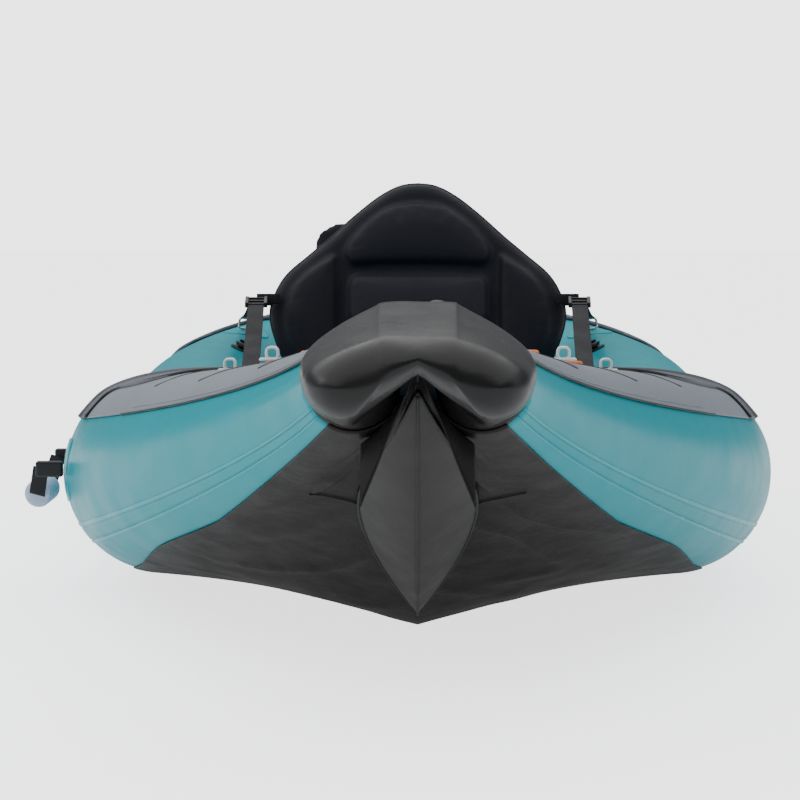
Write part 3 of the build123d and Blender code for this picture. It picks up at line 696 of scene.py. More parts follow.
cone_back = (
    (0.000, 0.4050), (0.031, 0.4045), (0.040, 0.4010), (0.068, 0.3865), (0.092, 0.3700),
    (0.105, 0.3560), (0.1082, 0.3430), (0.105, 0.3260), (0.097, 0.3110), (0.083, 0.2975),
    (0.064, 0.2890), (0.046, 0.3000), (0.000, 0.3400),
)
cone_front = (
    (0.000, 0.3735), (0.026, 0.3730), (0.038, 0.3705), (0.056, 0.3650), (0.072, 0.3580),
    (0.084, 0.3490), (0.0880, 0.3380), (0.085, 0.3270), (0.076, 0.3180), (0.064, 0.3140),
    (0.050, 0.3170), (0.034, 0.3310), (0.000, 0.3500),
)


cone_nose = 0.036


def smooth_line(points, steps):
    """Catmull-Rom samples through points."""
    out = []
    padded = [points[0], *points, points[-1]]
    for a, b, c, d in zip(padded, padded[1:], padded[2:], padded[3:]):
        for i in range(steps):
            t = i / steps
            out.append(tuple(
                0.5 * (2 * q + (r - p) * t + (2 * p - 5 * q + 4 * r - s) * t * t
                       + (3 * q - p - 3 * r + s) * t ** 3)
                for p, q, r, s in zip(a, b, c, d)
            ))
    out.append(points[-1])
    return out


def cone_half(reach):
    """Half the section from the top middle, out round the lobe and in to the arch's middle."""
    share = reach / cone_length
    wide = (1 - (1 - share) ** 2.2) ** 0.7
    high = share ** 0.8
    half = []
    for (x0, z0), (x1, z1) in zip(smooth_line(cone_front, 6), smooth_line(cone_back, 6)):
        half.append(Vector((x0 + (x1 - x0) * wide, z0 + (z1 - z0) * high)))
    if reach < cone_nose:
        open_share = math.sqrt(max(1 - (1 - reach / cone_nose) ** 2, 0))
        flat = [(a + b) / 2 for a, b in zip(half, reversed(half))]
        half = [m + (p - m) * open_share for m, p in zip(flat, half)]
        half = [Vector((p.x * (0.76 + 0.24 * open_share), p.y)) for p in half]
    return half


def cone_piece(name, end):
    rows = []
    for i in range(49):
        reach = cone_length * (i / 48) ** 2
        y = end * (half_length - reach)
        half = cone_half(reach)
        whole = half + [Vector((-p.x, p.y)) for p in reversed(half[1:-1])]
        ring = []
        for p in whole:
            dimple = 0.0009 * noise.noise(Vector((p.x * 28, reach * 20, p.y * 28 + end)))
            ring.append(Vector((p.x + dimple, y, p.y + dimple)))
        rows.append(ring)
    return mesh_piece(name, rows, finishes["cone"], close_rows=True, close_ends=True)


for name, end in ends:
    cone = cone_piece(f"{name}_cone", end)
    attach(cone, "hull")
    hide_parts(f"{name}_nose_cone")


# Keel plates: a leaf-shaped cutwater with a raised edge and a centre ridge line

keel_top = 0.204
keel_point, keel_deep = 0.002, 0.038


def leaf_width(reach, top, foot, widest):
    """Half the leaf's width at a reach from the tip, and its share of the widest."""
    belly = top + 0.48 * (foot - top)
    run = belly - top if reach < belly else foot - belly
    share = max(1 - abs((reach - belly) / run) ** 1.8, 0)
    return keel_point + (widest - keel_point) * share, share


def keel_piece(name, end, top, foot, widest):
    rows, edges, ridge = [], {-1: [], 1: []}, []
    count, across = 80, 12
    for i in range(count + 1):
        reach = top + (foot - top) * i / count
        y = end * (half_length - reach)
        half, share = leaf_width(reach, top, foot, widest)
        base = keel_z(y) - 0.002
        low = base - keel_deep * share - 0.005
        edge = web_z(y, half) - 0.0045
        line = []
        for j in range(-across, across + 1):
            t = j / across
            bow_out = 0.004 * share * (1 - abs(t)) * abs(t) * 4
            z = low + (edge - low) * abs(t) - bow_out
            line.append(Vector((t * half, y, max(z, 0.004))))
        ridge.append(line[across] + Vector((0, 0, -0.0006)))
        for side in (-1, 1):
            edges[side].append(line[across + side * across].copy())
        line.append(Vector((half * 0.97, y, edge + 0.004)))
        line.append(Vector((-half * 0.97, y, edge + 0.004)))
        rows.append(line)
    plate = mesh_piece(name, rows, finishes["keel"], close_rows=True, close_ends=True)
    trims = [rod("ridge", ridge[::4], 0.0014, finishes["line"])]
    for side in (-1, 1):
        trims.append(rod("edge", edges[side][::4], 0.0016, finishes["line"]))
    return joined(name, [plate, *trims])


for name, end, foot, widest in (("bow", -1, 0.700, 0.061), ("stern", 1, 0.335, 0.040)):
    plate = keel_piece(f"{name}_cutwater", end, keel_top, foot, widest)
    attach(plate, "hull")
    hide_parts(f"{name}_keel_plate")


# Decks and rims: fabric from tube to tube, with the cockpit arc as their edge

settle_steps = 12
seam_start_angle, seam_lift = 12, 0.0022


def arc_y(x, back):
    """Distance from the tip of the cockpit arc at x: a circle through its middle and its tips."""
    sag = deck_tip - deck_middle
    radius = (deck_tip_reach ** 2 + sag ** 2) / (2 * sag)
    x = min(abs(x), radius * 0.999)
    return deck_middle + back + radius - math.sqrt(radius ** 2 - x ** 2)


def deck_point(end, u, reach, out):
    """u runs from -1 to 1 across the deck: round the tube, then straight between the tubes."""
    y = end * (half_length - reach)
    side = 1 if u >= 0 else -1
    bend = 0.5
    if abs(u) > bend:
        angle = deck_edge_angle * (abs(u) - bend) / (1 - bend)
        return on_tube(y, side, angle, out)
    top = tube_z(y) + tube_r(y) + out
    x = u / bend * tube_x(y)
    return Vector((x, y, top))


def deck_grid(end, start, back, out, count, across):
    """Rows of a deck from the cone, or from start behind the cockpit arc, to back behind it."""
    rows = []
    for i in range(count + 1):
        line = []
        for j in range(across + 1):
            u = 2 * j / across - 1
            stop = deck_tip
            for _ in range(settle_steps):
                stop = 0.5 * stop + 0.5 * arc_y(deck_point(end, u, stop, out).x, back)
            first = cone_length
            if start is not None:
                first = deck_tip
                for _ in range(settle_steps):
                    first = 0.5 * first + 0.5 * arc_y(deck_point(end, u, first, out).x, start)
            reach = first + (stop - first) * i / count
            line.append(deck_point(end, u, reach, out))
        rows.append(line)
    return rows


def deck_piece(name, end):
    rows = deck_grid(end, None, 0, 0.0022, 90, 120)
    for row_points in rows:
        for p in row_points:
            inner = ease(1 - abs(p.x) / (tube_x(p.y) + 0.001))
            ripple = noise.noise(Vector((p.x * 14, p.y * 9, end)))
            p.z += inner * 0.0012 * ripple
    return mesh_piece(name, rows, finishes["deck"], thickness=-deck_cloth)


def deck_line(end, side, start, angle_end, run):
    """A curved seam from the tube's ridge to its outboard side."""
    points = []
    for i in range(9):
        t = i / 8
        y = end * (half_length - start - run * t)
        angle = -seam_start_angle + (angle_end + seam_start_angle) * t ** 1.6
        points.append(on_tube(y, side, angle, seam_lift))
    return points


seam_starts = (0.270, 0.445, 0.600)
seam_run, seam_drop = 0.13, 34
edge_reaches = [reach / 100 for reach in range(21, 78, 4)]
deck_cloth, rim_cloth = 0.0016, 0.003
stitch_pitch = 0.0065

for name, end in ends:
    deck = deck_piece(f"{name}_deck_cloth", end)
    trims = []
    for side in (-1, 1):
        for start in seam_starts:
            seam_line = deck_line(end, side, start, seam_drop, seam_run)
            trims.append(rod("seam", seam_line, 0.0011, finishes["line"]))
        edge = [on_tube(end * (half_length - reach), side, deck_edge_angle, 0.0012)
                for reach in edge_reaches]
        trims.append(rod("edge", edge, 0.0012, finishes["line"]))
        inset = [on_tube(end * (half_length - reach), side, deck_edge_angle - 4, 0.0028)
                 for reach in edge_reaches[:-1]]
        trims.append(row("stitches", inset, stitch_pitch, stitch, finishes["thread"]))
    trim = joined(f"{name}_deck_trim", trims)
    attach(trim, "hull")
    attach(deck, "hull")
    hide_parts(f"{name}_deck")

    band = deck_grid(end, -0.004, coaming_width, 0.0044, 10, 120)
    rim = mesh_piece(f"{name}_rim", band, finishes["rim"], thickness=-rim_cloth)
    bead = rod("bead", band[-1][::6], 0.0034, finishes["rim"])
    front_bead = rod("bead", band[0][::6], 0.0016, finishes["line"])
    inset = [p + Vector((0, 0, 0.0007)) for p in band[2][::4]]
    rim = joined(f"{name}_rim", [rim, bead, front_bead,
                                 row("stitches", inset, stitch_pitch, stitch, finishes["thread"])])
    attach(rim, "hull")
    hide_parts(f"{name}_coaming")


# Sweeps and lathes for webbing, rings and round parts

def rounded(width, height, corner, steps=4):
    """A rounded rectangle's outline as (a, b) pairs."""
    out = []
    for quarter, (u, v) in enumerate(((1, 1), (-1, 1), (-1, -1), (1, -1))):
        for i in range(steps + 1):
            angle = math.pi / 2 * (quarter + i / steps)
            out.append((u * (width / 2 - corner) + corner * math.cos(angle),
                        v * (height / 2 - corner) + corner * math.sin(angle)))
    return out


def round_profile(radius, count=16):
    return [(radius * math.cos(2 * math.pi * i / count), radius * math.sin(2 * math.pi * i / count))
            for i in range(count)]


def sweep(name, points, profile, up, mat, closed=False):
    """A profile carried along points: its first number goes along up, its second across the run."""
    rows = []
    last = len(points) - 1
    for i, point in enumerate(points):
        before = points[i - 1] if i or closed else point
        after = points[(i + 1) % (last + 1)] if i < last or closed else point
        along = (after - before).normalized()
        across = along.cross(up).normalized()
        high = across.cross(along)
        rows.append([point + high * a + across * b for a, b in profile])
    if closed:
        rows.append([p.copy() for p in rows[0]])
    return mesh_piece(name, rows, mat, close_rows=True, close_ends=not closed)


def lathe(name, profile, origin, axis, mat, count=48):
    """A profile of (radius, height) pairs turned about an axis, closed where the radius is 0."""
    turn = Vector((0, 0, 1)).rotation_difference(axis).to_matrix()
    rows = []
    for radius, height in profile:
        rows.append([origin + turn @ Vector((radius * math.cos(2 * math.pi * j / count),
                                             radius * math.sin(2 * math.pi * j / count), height))
                     for j in range(count)])
    return mesh_piece(name, rows, mat, close_rows=True)


def filleted(points, radius, steps=8):
    """Straight runs joined by tangent arcs."""
    out = [points[0]]
    for before, corner, after in zip(points, points[1:], points[2:]):
        come = (corner - before).normalized()
        go = (after - corner).normalized()
        turn = come.angle(go)
        if turn < 1e-4:
            out.append(corner)
            continue
        reach = radius * math.tan(turn / 2)
        reach = min(reach, 0.45 * min((corner - before).length, (after - corner).length))
        bend = reach / math.tan(turn / 2)
        inward = (go - come).normalized()
        centre = corner + inward * (bend / math.cos(turn / 2))
        start = corner - come * reach - centre
        axis = come.cross(go).normalized()
        for i in range(steps + 1):
            out.append(centre + Matrix.Rotation(turn * i / steps, 3, axis) @ start)
    out.append(points[-1])
    return out


def even(points, pitch):
    """Points added along straight runs so that no gap is longer than the pitch."""
    out = [points[0]]
    for a, b in zip(points, points[1:]):
        count = max(int((b - a).length / pitch), 1)
        out.extend(a.lerp(b, (i + 1) / count) for i in range(count))
    return out


def tube_patch(name, y, side, angle, long, wide, thick, mat, square=2.0):
    """A patch stuck on a tube, from a disc (square 2) towards a rounded rectangle (square 8)."""
    reaches = (0.0, 0.2, 0.4, 0.6, 0.78, 0.9, 0.965, 0.99, 1.0)
    lifts = (thick,) * 7 + (thick * 0.7, -0.0004)
    rows = []
    for reach, lift in [*zip(reaches, lifts), (0.98, -0.003), (0.5, -0.003), (0.0, -0.003)]:
        line = []
        for j in range(72):
            turn = 2 * math.pi * j / 72
            c, t = math.cos(turn), math.sin(turn)
            a = math.copysign(abs(c) ** (2 / square), c) * long / 2 * reach
            b = math.copysign(abs(t) ** (2 / square), t) * wide / 2 * reach
            line.append(on_tube(y + a, side, angle + math.degrees(b / tube_r(y)), lift))
        rows.append(line)
    return mesh_piece(name, rows, mat, close_rows=True)


# Padded pieces: a moulded form is voxel remeshed, then puffed out by a short cloth simulation

def signed_distance(points, polygon):
    """Distance from each 2-D point to a closed polygon, positive inside."""
    p = np.asarray(points)[:, None, :]
    a = np.asarray(polygon)[None, :, :]
    b = np.roll(a, -1, axis=1)
    ab = b - a
    t = np.clip(((p - a) * ab).sum(2) / (ab * ab).sum(2), 0, 1)
    near = np.sqrt((((a + ab * t[..., None]) - p) ** 2).sum(2)).min(1)
    above = (a[..., 1] > p[..., 1]) != (b[..., 1] > p[..., 1])
    with np.errstate(divide="ignore", invalid="ignore"):
        cross = (b[..., 0] - a[..., 0]) * (p[..., 1] - a[..., 1]) / (b[..., 1] - a[..., 1]) + a[..., 0]
    inside = (above & (p[..., 0] < cross)).sum(1) % 2 == 1
    return np.where(inside, near, -near)


def moulded(name, outline, centre, place, front, back, mat, rings=60):
    """A closed form over a flat outline: place turns (x, height, out) into a point."""
    scales = [1 - i / rings for i in range(rings + 1)]
    flat = [[(centre[0] + (x - centre[0]) * k, centre[1] + (h - centre[1]) * k) for x, h in outline]
            for k in scales]
    every = np.array(flat).reshape(-1, 2)
    edge = np.clip(signed_distance(every, outline), 0, None)
    fronts, backs = front(every, edge), back(every, edge)
    wide = len(outline)

    def line(i, heights):
        return [place(x, h, heights[i * wide + j]) for j, (x, h) in enumerate(flat[i])]

    rows = [line(i, fronts) for i in range(rings, -1, -1)] + [line(i, backs) for i in range(rings + 1)]
    return mesh_piece(name, rows, mat, close_rows=True)


cloth_steps = 20


def puff(piece, voxel, held, pressure, cap):
    """held(points) is 1 where the cloth is stitched down and 0 where it can swell."""
    remesh = piece.modifiers.new("remesh", "REMESH")
    remesh.mode = "VOXEL"
    remesh.voxel_size = voxel
    remesh.use_smooth_shade = True
    mat = piece.data.materials[0]
    settle(piece)
    if not piece.data.materials:
        piece.data.materials.append(mat)
    mesh = piece.data
    count = len(mesh.vertices)
    start = np.empty(count * 3)
    mesh.vertices.foreach_get("co", start)
    start = start.reshape(-1, 3)
    pins = piece.vertex_groups.new(name="pins")
    for index, weight in enumerate(held(start)):
        if weight > 0:
            pins.add([index], float(weight), "REPLACE")
    cloth = piece.modifiers.new("cloth", "CLOTH")
    cloth.settings.quality = 4
    cloth.settings.mass = 0.25
    cloth.settings.tension_stiffness = 12
    cloth.settings.compression_stiffness = 12
    cloth.settings.bending_stiffness = 1.5
    cloth.settings.use_pressure = True
    cloth.settings.uniform_pressure_force = pressure
    cloth.settings.effector_weights.gravity = 0
    cloth.settings.vertex_group_mass = "pins"
    cloth.point_cache.frame_start = 1
    cloth.point_cache.frame_end = cloth_steps
    for step in range(1, cloth_steps + 1):
        bpy.context.scene.frame_set(step)
    graph = bpy.context.evaluated_depsgraph_get()
    swollen = bpy.data.meshes.new_from_object(piece.evaluated_get(graph))
    end = np.empty(count * 3)
    swollen.vertices.foreach_get("co", end)
    move = end.reshape(-1, 3) - start
    size = np.linalg.norm(move, axis=1, keepdims=True)
    move *= np.minimum(1, cap / np.maximum(size, 1e-9))
    piece.modifiers.clear()
    piece.vertex_groups.clear()
    mesh.vertices.foreach_set("co", (start + move).ravel())
    bpy.context.scene.frame_set(1)
    smooth = piece.modifiers.new("smooth", "SMOOTH")
    smooth.factor = 0.5
    smooth.iterations = 2
    finer = piece.modifiers.new("finer", "SUBSURF")
    finer.levels = 1
    settle(piece)
    for poly in piece.data.polygons:
        poly.use_smooth = True
    return piece


# Seat back: a thick rim round crown, centre and lower pads and two wings

back_tilt = math.radians(10)
back_half = 0.018
back_hinge = Vector((0, 0.248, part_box("seat_cushion")[1][2] + back_half + 0.010))
back_up = Vector((0, math.sin(back_tilt), math.cos(back_tilt)))
back_front = Vector((0, -math.cos(back_tilt), math.sin(back_tilt)))


def on_back(x, height, out):
    return back_hinge + Vector((x, 0, 0)) + back_up * height + back_front * out


def mirrored(half):
    """A closed outline from its right half, given from the bottom middle up to the top middle."""
    return half + [(-x, h) for x, h in reversed(half) if x > 1e-6]


back_outline = mirrored(smooth_line((
    (0.0, 0.0), (0.09, 0.0), (0.165, 0.004), (0.190, 0.030), (0.203, 0.075), (0.222, 0.120),
    (0.2325, 0.160), (0.2275, 0.192), (0.2075, 0.228), (0.1690, 0.262), (0.1360, 0.290),
    (0.0975, 0.325), (0.0600, 0.3545), (0.0280, 0.3710), (0.0, 0.375),
), 8))
crown_panel = mirrored(smooth_line((
    (0.0, 0.2405), (0.060, 0.2395), (0.098, 0.2375), (0.112, 0.2440), (0.1195, 0.2600),
    (0.1150, 0.2760), (0.1020, 0.2950), (0.0760, 0.3200), (0.0420, 0.3400), (0.0, 0.3460),
), 5))
centre_panel = [(x, h + 0.1865) for x, h in rounded(0.228, 0.090, 0.024, 8)]
wing_panel = smooth_line((
    (0.1240, 0.020), (0.1700, 0.022), (0.1830, 0.045), (0.1960, 0.090), (0.2110, 0.132),
    (0.2135, 0.168), (0.2030, 0.2050), (0.1790, 0.2340), (0.1400, 0.2600), (0.1290, 0.2610),
    (0.1235, 0.2480), (0.1225, 0.1800), (0.1225, 0.0500),
), 5)[:-1]
lower_panel = [(x, h + 0.0735) for x, h in rounded(0.228, 0.108, 0.024, 8)]
back_panels = [crown_panel, centre_panel, lower_panel, wing_panel, [(-x, h) for x, h in wing_panel]]
pad_gap = 0.0035
groove_height, pad_rise, pad_slope = 0.0035, 0.0140, 0.012
back_round, back_wall, rear_round = 0.017, 0.003, 0.008


def pad_depth(points):
    return np.max([signed_distance(points, panel) for panel in back_panels], axis=0) - pad_gap


def back_front_height(points, edge):
    full = 1 - (1 - np.clip(pad_depth(points) / pad_slope, 0, 1)) ** 2.2
    face = groove_height + pad_rise * full
    turn = np.sqrt(1 - (1 - np.clip(edge / back_round, 0, 1)) ** 2)
    return -back_half + back_wall + (face + back_half - back_wall) * turn


def back_rear_height(points, edge):
    return -back_half + back_wall * (1 - np.clip(edge / rear_round, 0, 1)) ** 2


def back_stitched(points):
    local = points - np.array(back_hinge)
    flat = np.stack([local[:, 0], local @ np.array(back_up)], axis=1)
    out = local @ np.array(back_front)
    depth = pad_depth(flat)
    return np.where((depth < 0.004) | (out < 0.0), 1.0, 0.0)


seat_back = moulded("seat_back_pads", back_outline, (0, 0.165), on_back, back_front_height,
                    back_rear_height, finishes["seat"], 70)
seat_back = puff(seat_back, 0.0036, back_stitched, 4, 0.005)
seat_back.data.materials.append(finishes["pad"])
spots = [poly.center - back_hinge for poly in seat_back.data.polygons]
inside = signed_distance([(spot.x, spot.dot(back_up)) for spot in spots], centre_panel) > 0.002
for poly, spot, within in zip(seat_back.data.polygons, spots, inside):
    poly.material_index = int(within and spot.dot(back_front) > 0)
# A rod round the rim in a slate lighter than the seat: a seam, and a painted highlight standing in for
# the soft light along the rim's edge
rim_seam_highlight_line = [on_back(x * 0.995, 0.001 + h * 0.995, -0.0135) for x, h in back_outline]
rim_seam_highlight_line.append(rim_seam_highlight_line[0])
seat_seam_and_highlight = sweep("seat_back_piping", rim_seam_highlight_line[:-1], round_profile(0.0022, 10), back_front,
                    finishes["seam_and_painted_highlight"], closed=True)
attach(seat_back, "backrest")
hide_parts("seat_back")
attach(seat_seam_and_highlight, "backrest")


# Seat cushion

cushion_low, cushion_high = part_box("seat_cushion")
cushion_mid = Vector(((cushion_low[0] + cushion_high[0]) / 2, (cushion_low[1] + cushion_high[1]) / 2))
cushion_size = (cushion_high[0] - cushion_low[0], cushion_high[1] - cushion_low[1])
cushion_tall = cushion_high[2] - cushion_low[2]
cushion_outline = [(x + cushion_mid.x, y + cushion_mid.y)
                   for x, y in rounded(cushion_size[0], cushion_size[1], 0.06, 14)]
cushion_panels = [
    [(x + cushion_mid.x, y + cushion_mid.y + 0.085) for x, y in rounded(0.33, 0.150, 0.04, 8)],
    [(x + cushion_mid.x + 0.087, y + cushion_mid.y - 0.085) for x, y in rounded(0.155, 0.165, 0.04, 8)],
    [(x + cushion_mid.x - 0.087, y + cushion_mid.y - 0.085) for x, y in rounded(0.155, 0.165, 0.04, 8)],
]


cushion_wall, cushion_rise, cushion_slope, cushion_round = 0.014, 0.010, 0.024, 0.020


def cushion_depth(points):
    return np.max([signed_distance(points, panel) for panel in cushion_panels], axis=0)


def cushion_top(points, edge):
    full = 1 - (1 - np.clip(cushion_depth(points) / cushion_slope, 0, 1)) ** 2
    turn = np.sqrt(1 - (1 - np.clip(edge / cushion_round, 0, 1)) ** 2)
    return cushion_wall + (cushion_tall - cushion_wall - 0.012 + cushion_rise * full) * turn


def cushion_under(points, edge):
    return cushion_wall * (1 - np.clip(edge / cushion_wall, 0, 1)) ** 2


def cushion_stitched(points):
    depth = cushion_depth(points[:, :2])
    return np.where((depth < 0.004) | (points[:, 2] < cushion_low[2] + 0.03), 1.0, 0.0)


cushion = moulded("seat_cushion_pads", cushion_outline, tuple(cushion_mid),
                  lambda x, y, out: Vector((x, y, cushion_low[2] + out)),
                  cushion_top, cushion_under, finishes["seat"], 60)
cushion = puff(cushion, 0.005, cushion_stitched, 4, 0.006)
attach(cushion, "hull")
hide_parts("seat_cushion")


# Pouch behind the back, with its zip

pouch_mid = (-0.014, 0.2075)
pouch_outline = [(x + pouch_mid[0], h + pouch_mid[1]) for x, h in rounded(0.300, 0.215, 0.044, 12)]
pouch_face = -back_half - 0.001
pouch_deep = 0.022
zip_height, zip_half, zip_pitch = 0.270, 0.113, 0.0024


def pouch_rear(points, edge):
    turn = np.sqrt(1 - (1 - np.clip(edge / 0.02, 0, 1)) ** 2)
    return pouch_face - 0.002 - (pouch_deep - 0.004) * turn


pouch = moulded("back_pouch_cloth", pouch_outline, pouch_mid, on_back,
                lambda points, edge: np.full_like(edge, pouch_face - 0.001), pouch_rear,
                finishes["seat"], 34)


def pouch_stitched(points):
    out = (points - np.array(back_hinge)) @ np.array(back_front)
    return np.where(out > pouch_face - 0.010, 1.0, 0.0)


pouch = puff(pouch, 0.005, pouch_stitched, 3, 0.003)
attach(pouch, "backrest")
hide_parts("back_pouch")

zip_shape = block("tooth", Vector(), Vector((0.0014, 0.0048, 0.0016)), finishes["valve"], 0.0003)
bpy.context.scene.collection.objects.unlink(zip_shape)
zip_out = pouch_face - pouch_deep - 0.0012
zip_line = [on_back(pouch_mid[0] + x, zip_height, zip_out)
            for x in (-zip_half, -0.04, 0.04, zip_half)]
tape_line = [on_back(pouch_mid[0] + x, zip_height, zip_out + 0.0006)
             for x in (-zip_half - 0.002, zip_half + 0.002)]
tape = sweep("zip_tape", tape_line, rounded(0.012, 0.0012, 0.0005), back_up, finishes["line"])
teeth = row("zip_teeth", zip_line, zip_pitch, zip_shape, finishes["valve"])
pouch_zip = joined("pouch_zip_chain", [tape, teeth])
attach(pouch_zip, "backrest")
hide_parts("pouch_zip")


# Straps from the back's sides to rings on the tubes

def anchor(shift, y, side):
    """The middle of a ring patch on a tube, the way out of the tube there, and its lean."""
    lean = math.degrees(math.asin(shift / tube_r(y)))
    out = Vector((side * math.sin(math.radians(lean)), 0, math.cos(math.radians(lean))))
    return on_tube(y, side, lean, 0.0015), out, lean


strap_profile = rounded(0.025, 0.0021, 0.0008, 3)
buckle_length = 0.042
ring_patch_wide = 0.076
ring_lift, ring_top = 0.0113, 0.0223
strap_side, strap_height = 0.252, 0.188
strap_sag = 0.0045
rail_shift, bar_shift = 0.0145, 0.0180
rail_size, bar_size = (0.006, buckle_length, 0.0085), (0.026, 0.0052, 0.0058)
thumb_size = (0.024, 0.010, 0.0022)
tabs = []
for end_name, shift, y, out_shift in (
    ("front", -0.085, -0.190, 0.014),
    ("rear", -0.016, 0.590, -0.014),
):
    rings, buckles = [], []
    for name, side in sides:
        root, normal, lean = anchor(shift, y, side)
        patch = tube_patch(f"{name}_{end_name}_ring_disc", y, side, lean, ring_patch_wide,
                           ring_patch_wide, 0.0015, finishes["tape"])
        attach(patch, "hull")
        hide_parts(f"{name}_{end_name}_ring_patch")

        sideways = Vector((0, 1, 0)).cross(normal)
        ring_mid = root + normal * ring_lift
        path = [ring_mid + sideways * a + normal * b for a, b in rounded(0.028, 0.018, 0.005, 5)]
        rings.append(sweep("ring", path, round_profile(0.002, 12), Vector((0, 1, 0)),
                           finishes["steel"], closed=True))

        ring_end = root + normal * ring_top
        back_end = on_back(side * strap_side, strap_height, out_shift)
        run = back_end - ring_end
        way = run.normalized()
        across = run.cross(Vector((0, 0, 1))).normalized()
        face = way.cross(across)
        start = ring_end + way * 0.004
        stop = back_end - way * (buckle_length - 0.001)
        line = []
        for i in range(41):
            t = i / 40
            sag = -strap_sag * math.sin(math.pi * t)
            line.append(start.lerp(stop, t) + Vector((0, 0, sag)))
        strap = sweep(f"{name}_{end_name}_webbing", line, strap_profile, across, finishes["webbing"])
        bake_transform(strap)
        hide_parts(f"{name}_{end_name}_strap")

        turn = Matrix((across, way, face)).transposed()
        middle = back_end - way * buckle_length / 2
        for along in (-rail_shift, rail_shift):
            buckles.append(block("rail", middle + across * along, rail_size,
                                 finishes["buckle"], 0.0018, turn))
        for along in (-bar_shift, 0.0, bar_shift):
            buckles.append(block("bar", middle + way * along, bar_size,
                                 finishes["buckle"], 0.0016, turn))
        buckles.append(block("thumb", middle - way * 0.0125 + face * 0.0035, thumb_size,
                             finishes["buckle"], 0.0009, turn))
        tail = [middle + face * 0.0012 + way * (0.018 - 0.036 * i / 12) for i in range(13)]
        buckles.append(sweep("strap_end", tail, rounded(0.023, 0.002, 0.0006, 2), across,
                             finishes["webbing"]))
        tabs.append(sweep("tab", [on_back(side * x, strap_height, out_shift * 0.72)
                                  for x in (0.216, 0.225, 0.235, 0.245, strap_side)],
                          rounded(0.016, 0.0045, 0.0012, 3), back_up, finishes["webbing"]))
    ring_set = joined(f"{end_name}_ring_set", rings)
    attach(ring_set, "hull")
    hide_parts(f"{end_name}_rings")
    buckle_set = joined(f"{end_name}_buckle_set", buckles)
    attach(buckle_set, "backrest")
    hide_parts(f"{end_name}_buckles")
side_tabs = joined("back_tab_set", tabs)
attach(side_tabs, "backrest")
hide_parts("back_side_tabs")


# Deck bungees: one orange cord each, crossed in the middle, held by white loops

bungee_near, bungee_far = 0.420, 0.650
bungee_near_x, bungee_far_x = 0.152, 0.212
bungee_radius, bungee_bend = 0.003, 0.014
bungee_lift = 0.008
loop_size, loop_foot = 0.0115, (0.026, 0.014, 0.0026)
lock_size, button_size = (0.040, 0.014, 0.012), (0.018, 0.006, 0.007)


def bungee_point(end, reach, x, lift=0.0):
    y = end * (half_length - reach)
    return Vector((x, y, tube_z(y) + tube_r(y) + bungee_lift + lift))


def bungee_route(end):
    half = (bungee_near + bungee_far) / 2
    return [
        bungee_point(end, bungee_near, -0.020), bungee_point(end, bungee_near, -bungee_near_x),
        bungee_point(end, half - 0.030, -0.015), bungee_point(end, bungee_far, bungee_far_x),
        bungee_point(end, bungee_far, 0, 0.002), bungee_point(end, bungee_far, -bungee_far_x),
        bungee_point(end, half + 0.025, -0.020, 0.008), bungee_point(end, half - 0.025, 0.020, 0.008),
        bungee_point(end, bungee_near, bungee_near_x), bungee_point(end, bungee_near, 0.020),
    ]


locks = []
for name, end in ends:
    path = even(filleted(bungee_route(end), bungee_bend), 0.01)
    cord = sweep(f"{name}_bungee_cord", path, round_profile(bungee_radius, 14), Vector((0, 0, 1)),
                 finishes["bungee"])
    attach(cord, "hull")
    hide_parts(f"{name}_bungee")
    loops = []
    for reach, x in ((bungee_near, bungee_near_x), (bungee_far, bungee_far_x)):
        for side in (-1, 1):
            middle = bungee_point(end, reach, side * (x - 0.0045))
            path = [middle + Vector((a, 0, b)) for a, b in rounded(loop_size, loop_size, 0.004, 5)]
            loops.append(sweep("loop", path, rounded(0.012, 0.0026, 0.0011, 3), Vector((0, 1, 0)),
                               finishes["white"], closed=True))
            foot = middle - Vector((0, 0, 0.0062))
            loops.append(block("foot", foot, loop_foot, finishes["white"], 0.001))
    loop_set = joined(f"{name}_loop_set", loops)
    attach(loop_set, "hull")
    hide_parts(f"{name}_bungee_loops")
    locks.append(block("lock", bungee_point(end, bungee_near, 0), lock_size,
                       finishes["buckle"], 0.004))
    locks.append(block("button", bungee_point(end, bungee_near, 0) + Vector((0, end * -0.008, 0)),
                       button_size, finishes["white"], 0.002))
lock_set = joined("bungee_lock_set", locks)
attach(lock_set, "hull")
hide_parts("bungee_locks")


# Carry handles: webbing through a ribbed grip

grip_half = 0.042
grip_reach = 0.038
strap_root, strap_corner = 0.078, 0.048
rib_run, rib_count = 0.076, 9
rib_low, rib_high = 0.0152, 0.0026
lug_shift = 0.086
side_lug, end_lug = (0.034, 0.014, 0.020), (0.020, 0.014, 0.036)
side_handle_y = -0.440
end_handle_x, end_handle_y = -0.019, 1.260


def grip_profile():
    """Rounded ribs along the grip with a short plain collar at each end."""
    profile = [(0.0, -grip_half), (0.0125, -grip_half), (0.0155, -grip_half + 0.0008),
               (0.0168, -grip_half + 0.0026)]
    for i in range(145):
        along = -rib_run / 2 + rib_run * i / 144
        rib = abs(math.sin(math.pi * (along + rib_run / 2) / rib_run * rib_count)) ** 0.55
        profile.append((rib_low + rib_high * rib, along))
    profile += [(0.0168, grip_half - 0.0026), (0.0155, grip_half - 0.0008),
                (0.0125, grip_half), (0.0, grip_half)]
    return profile


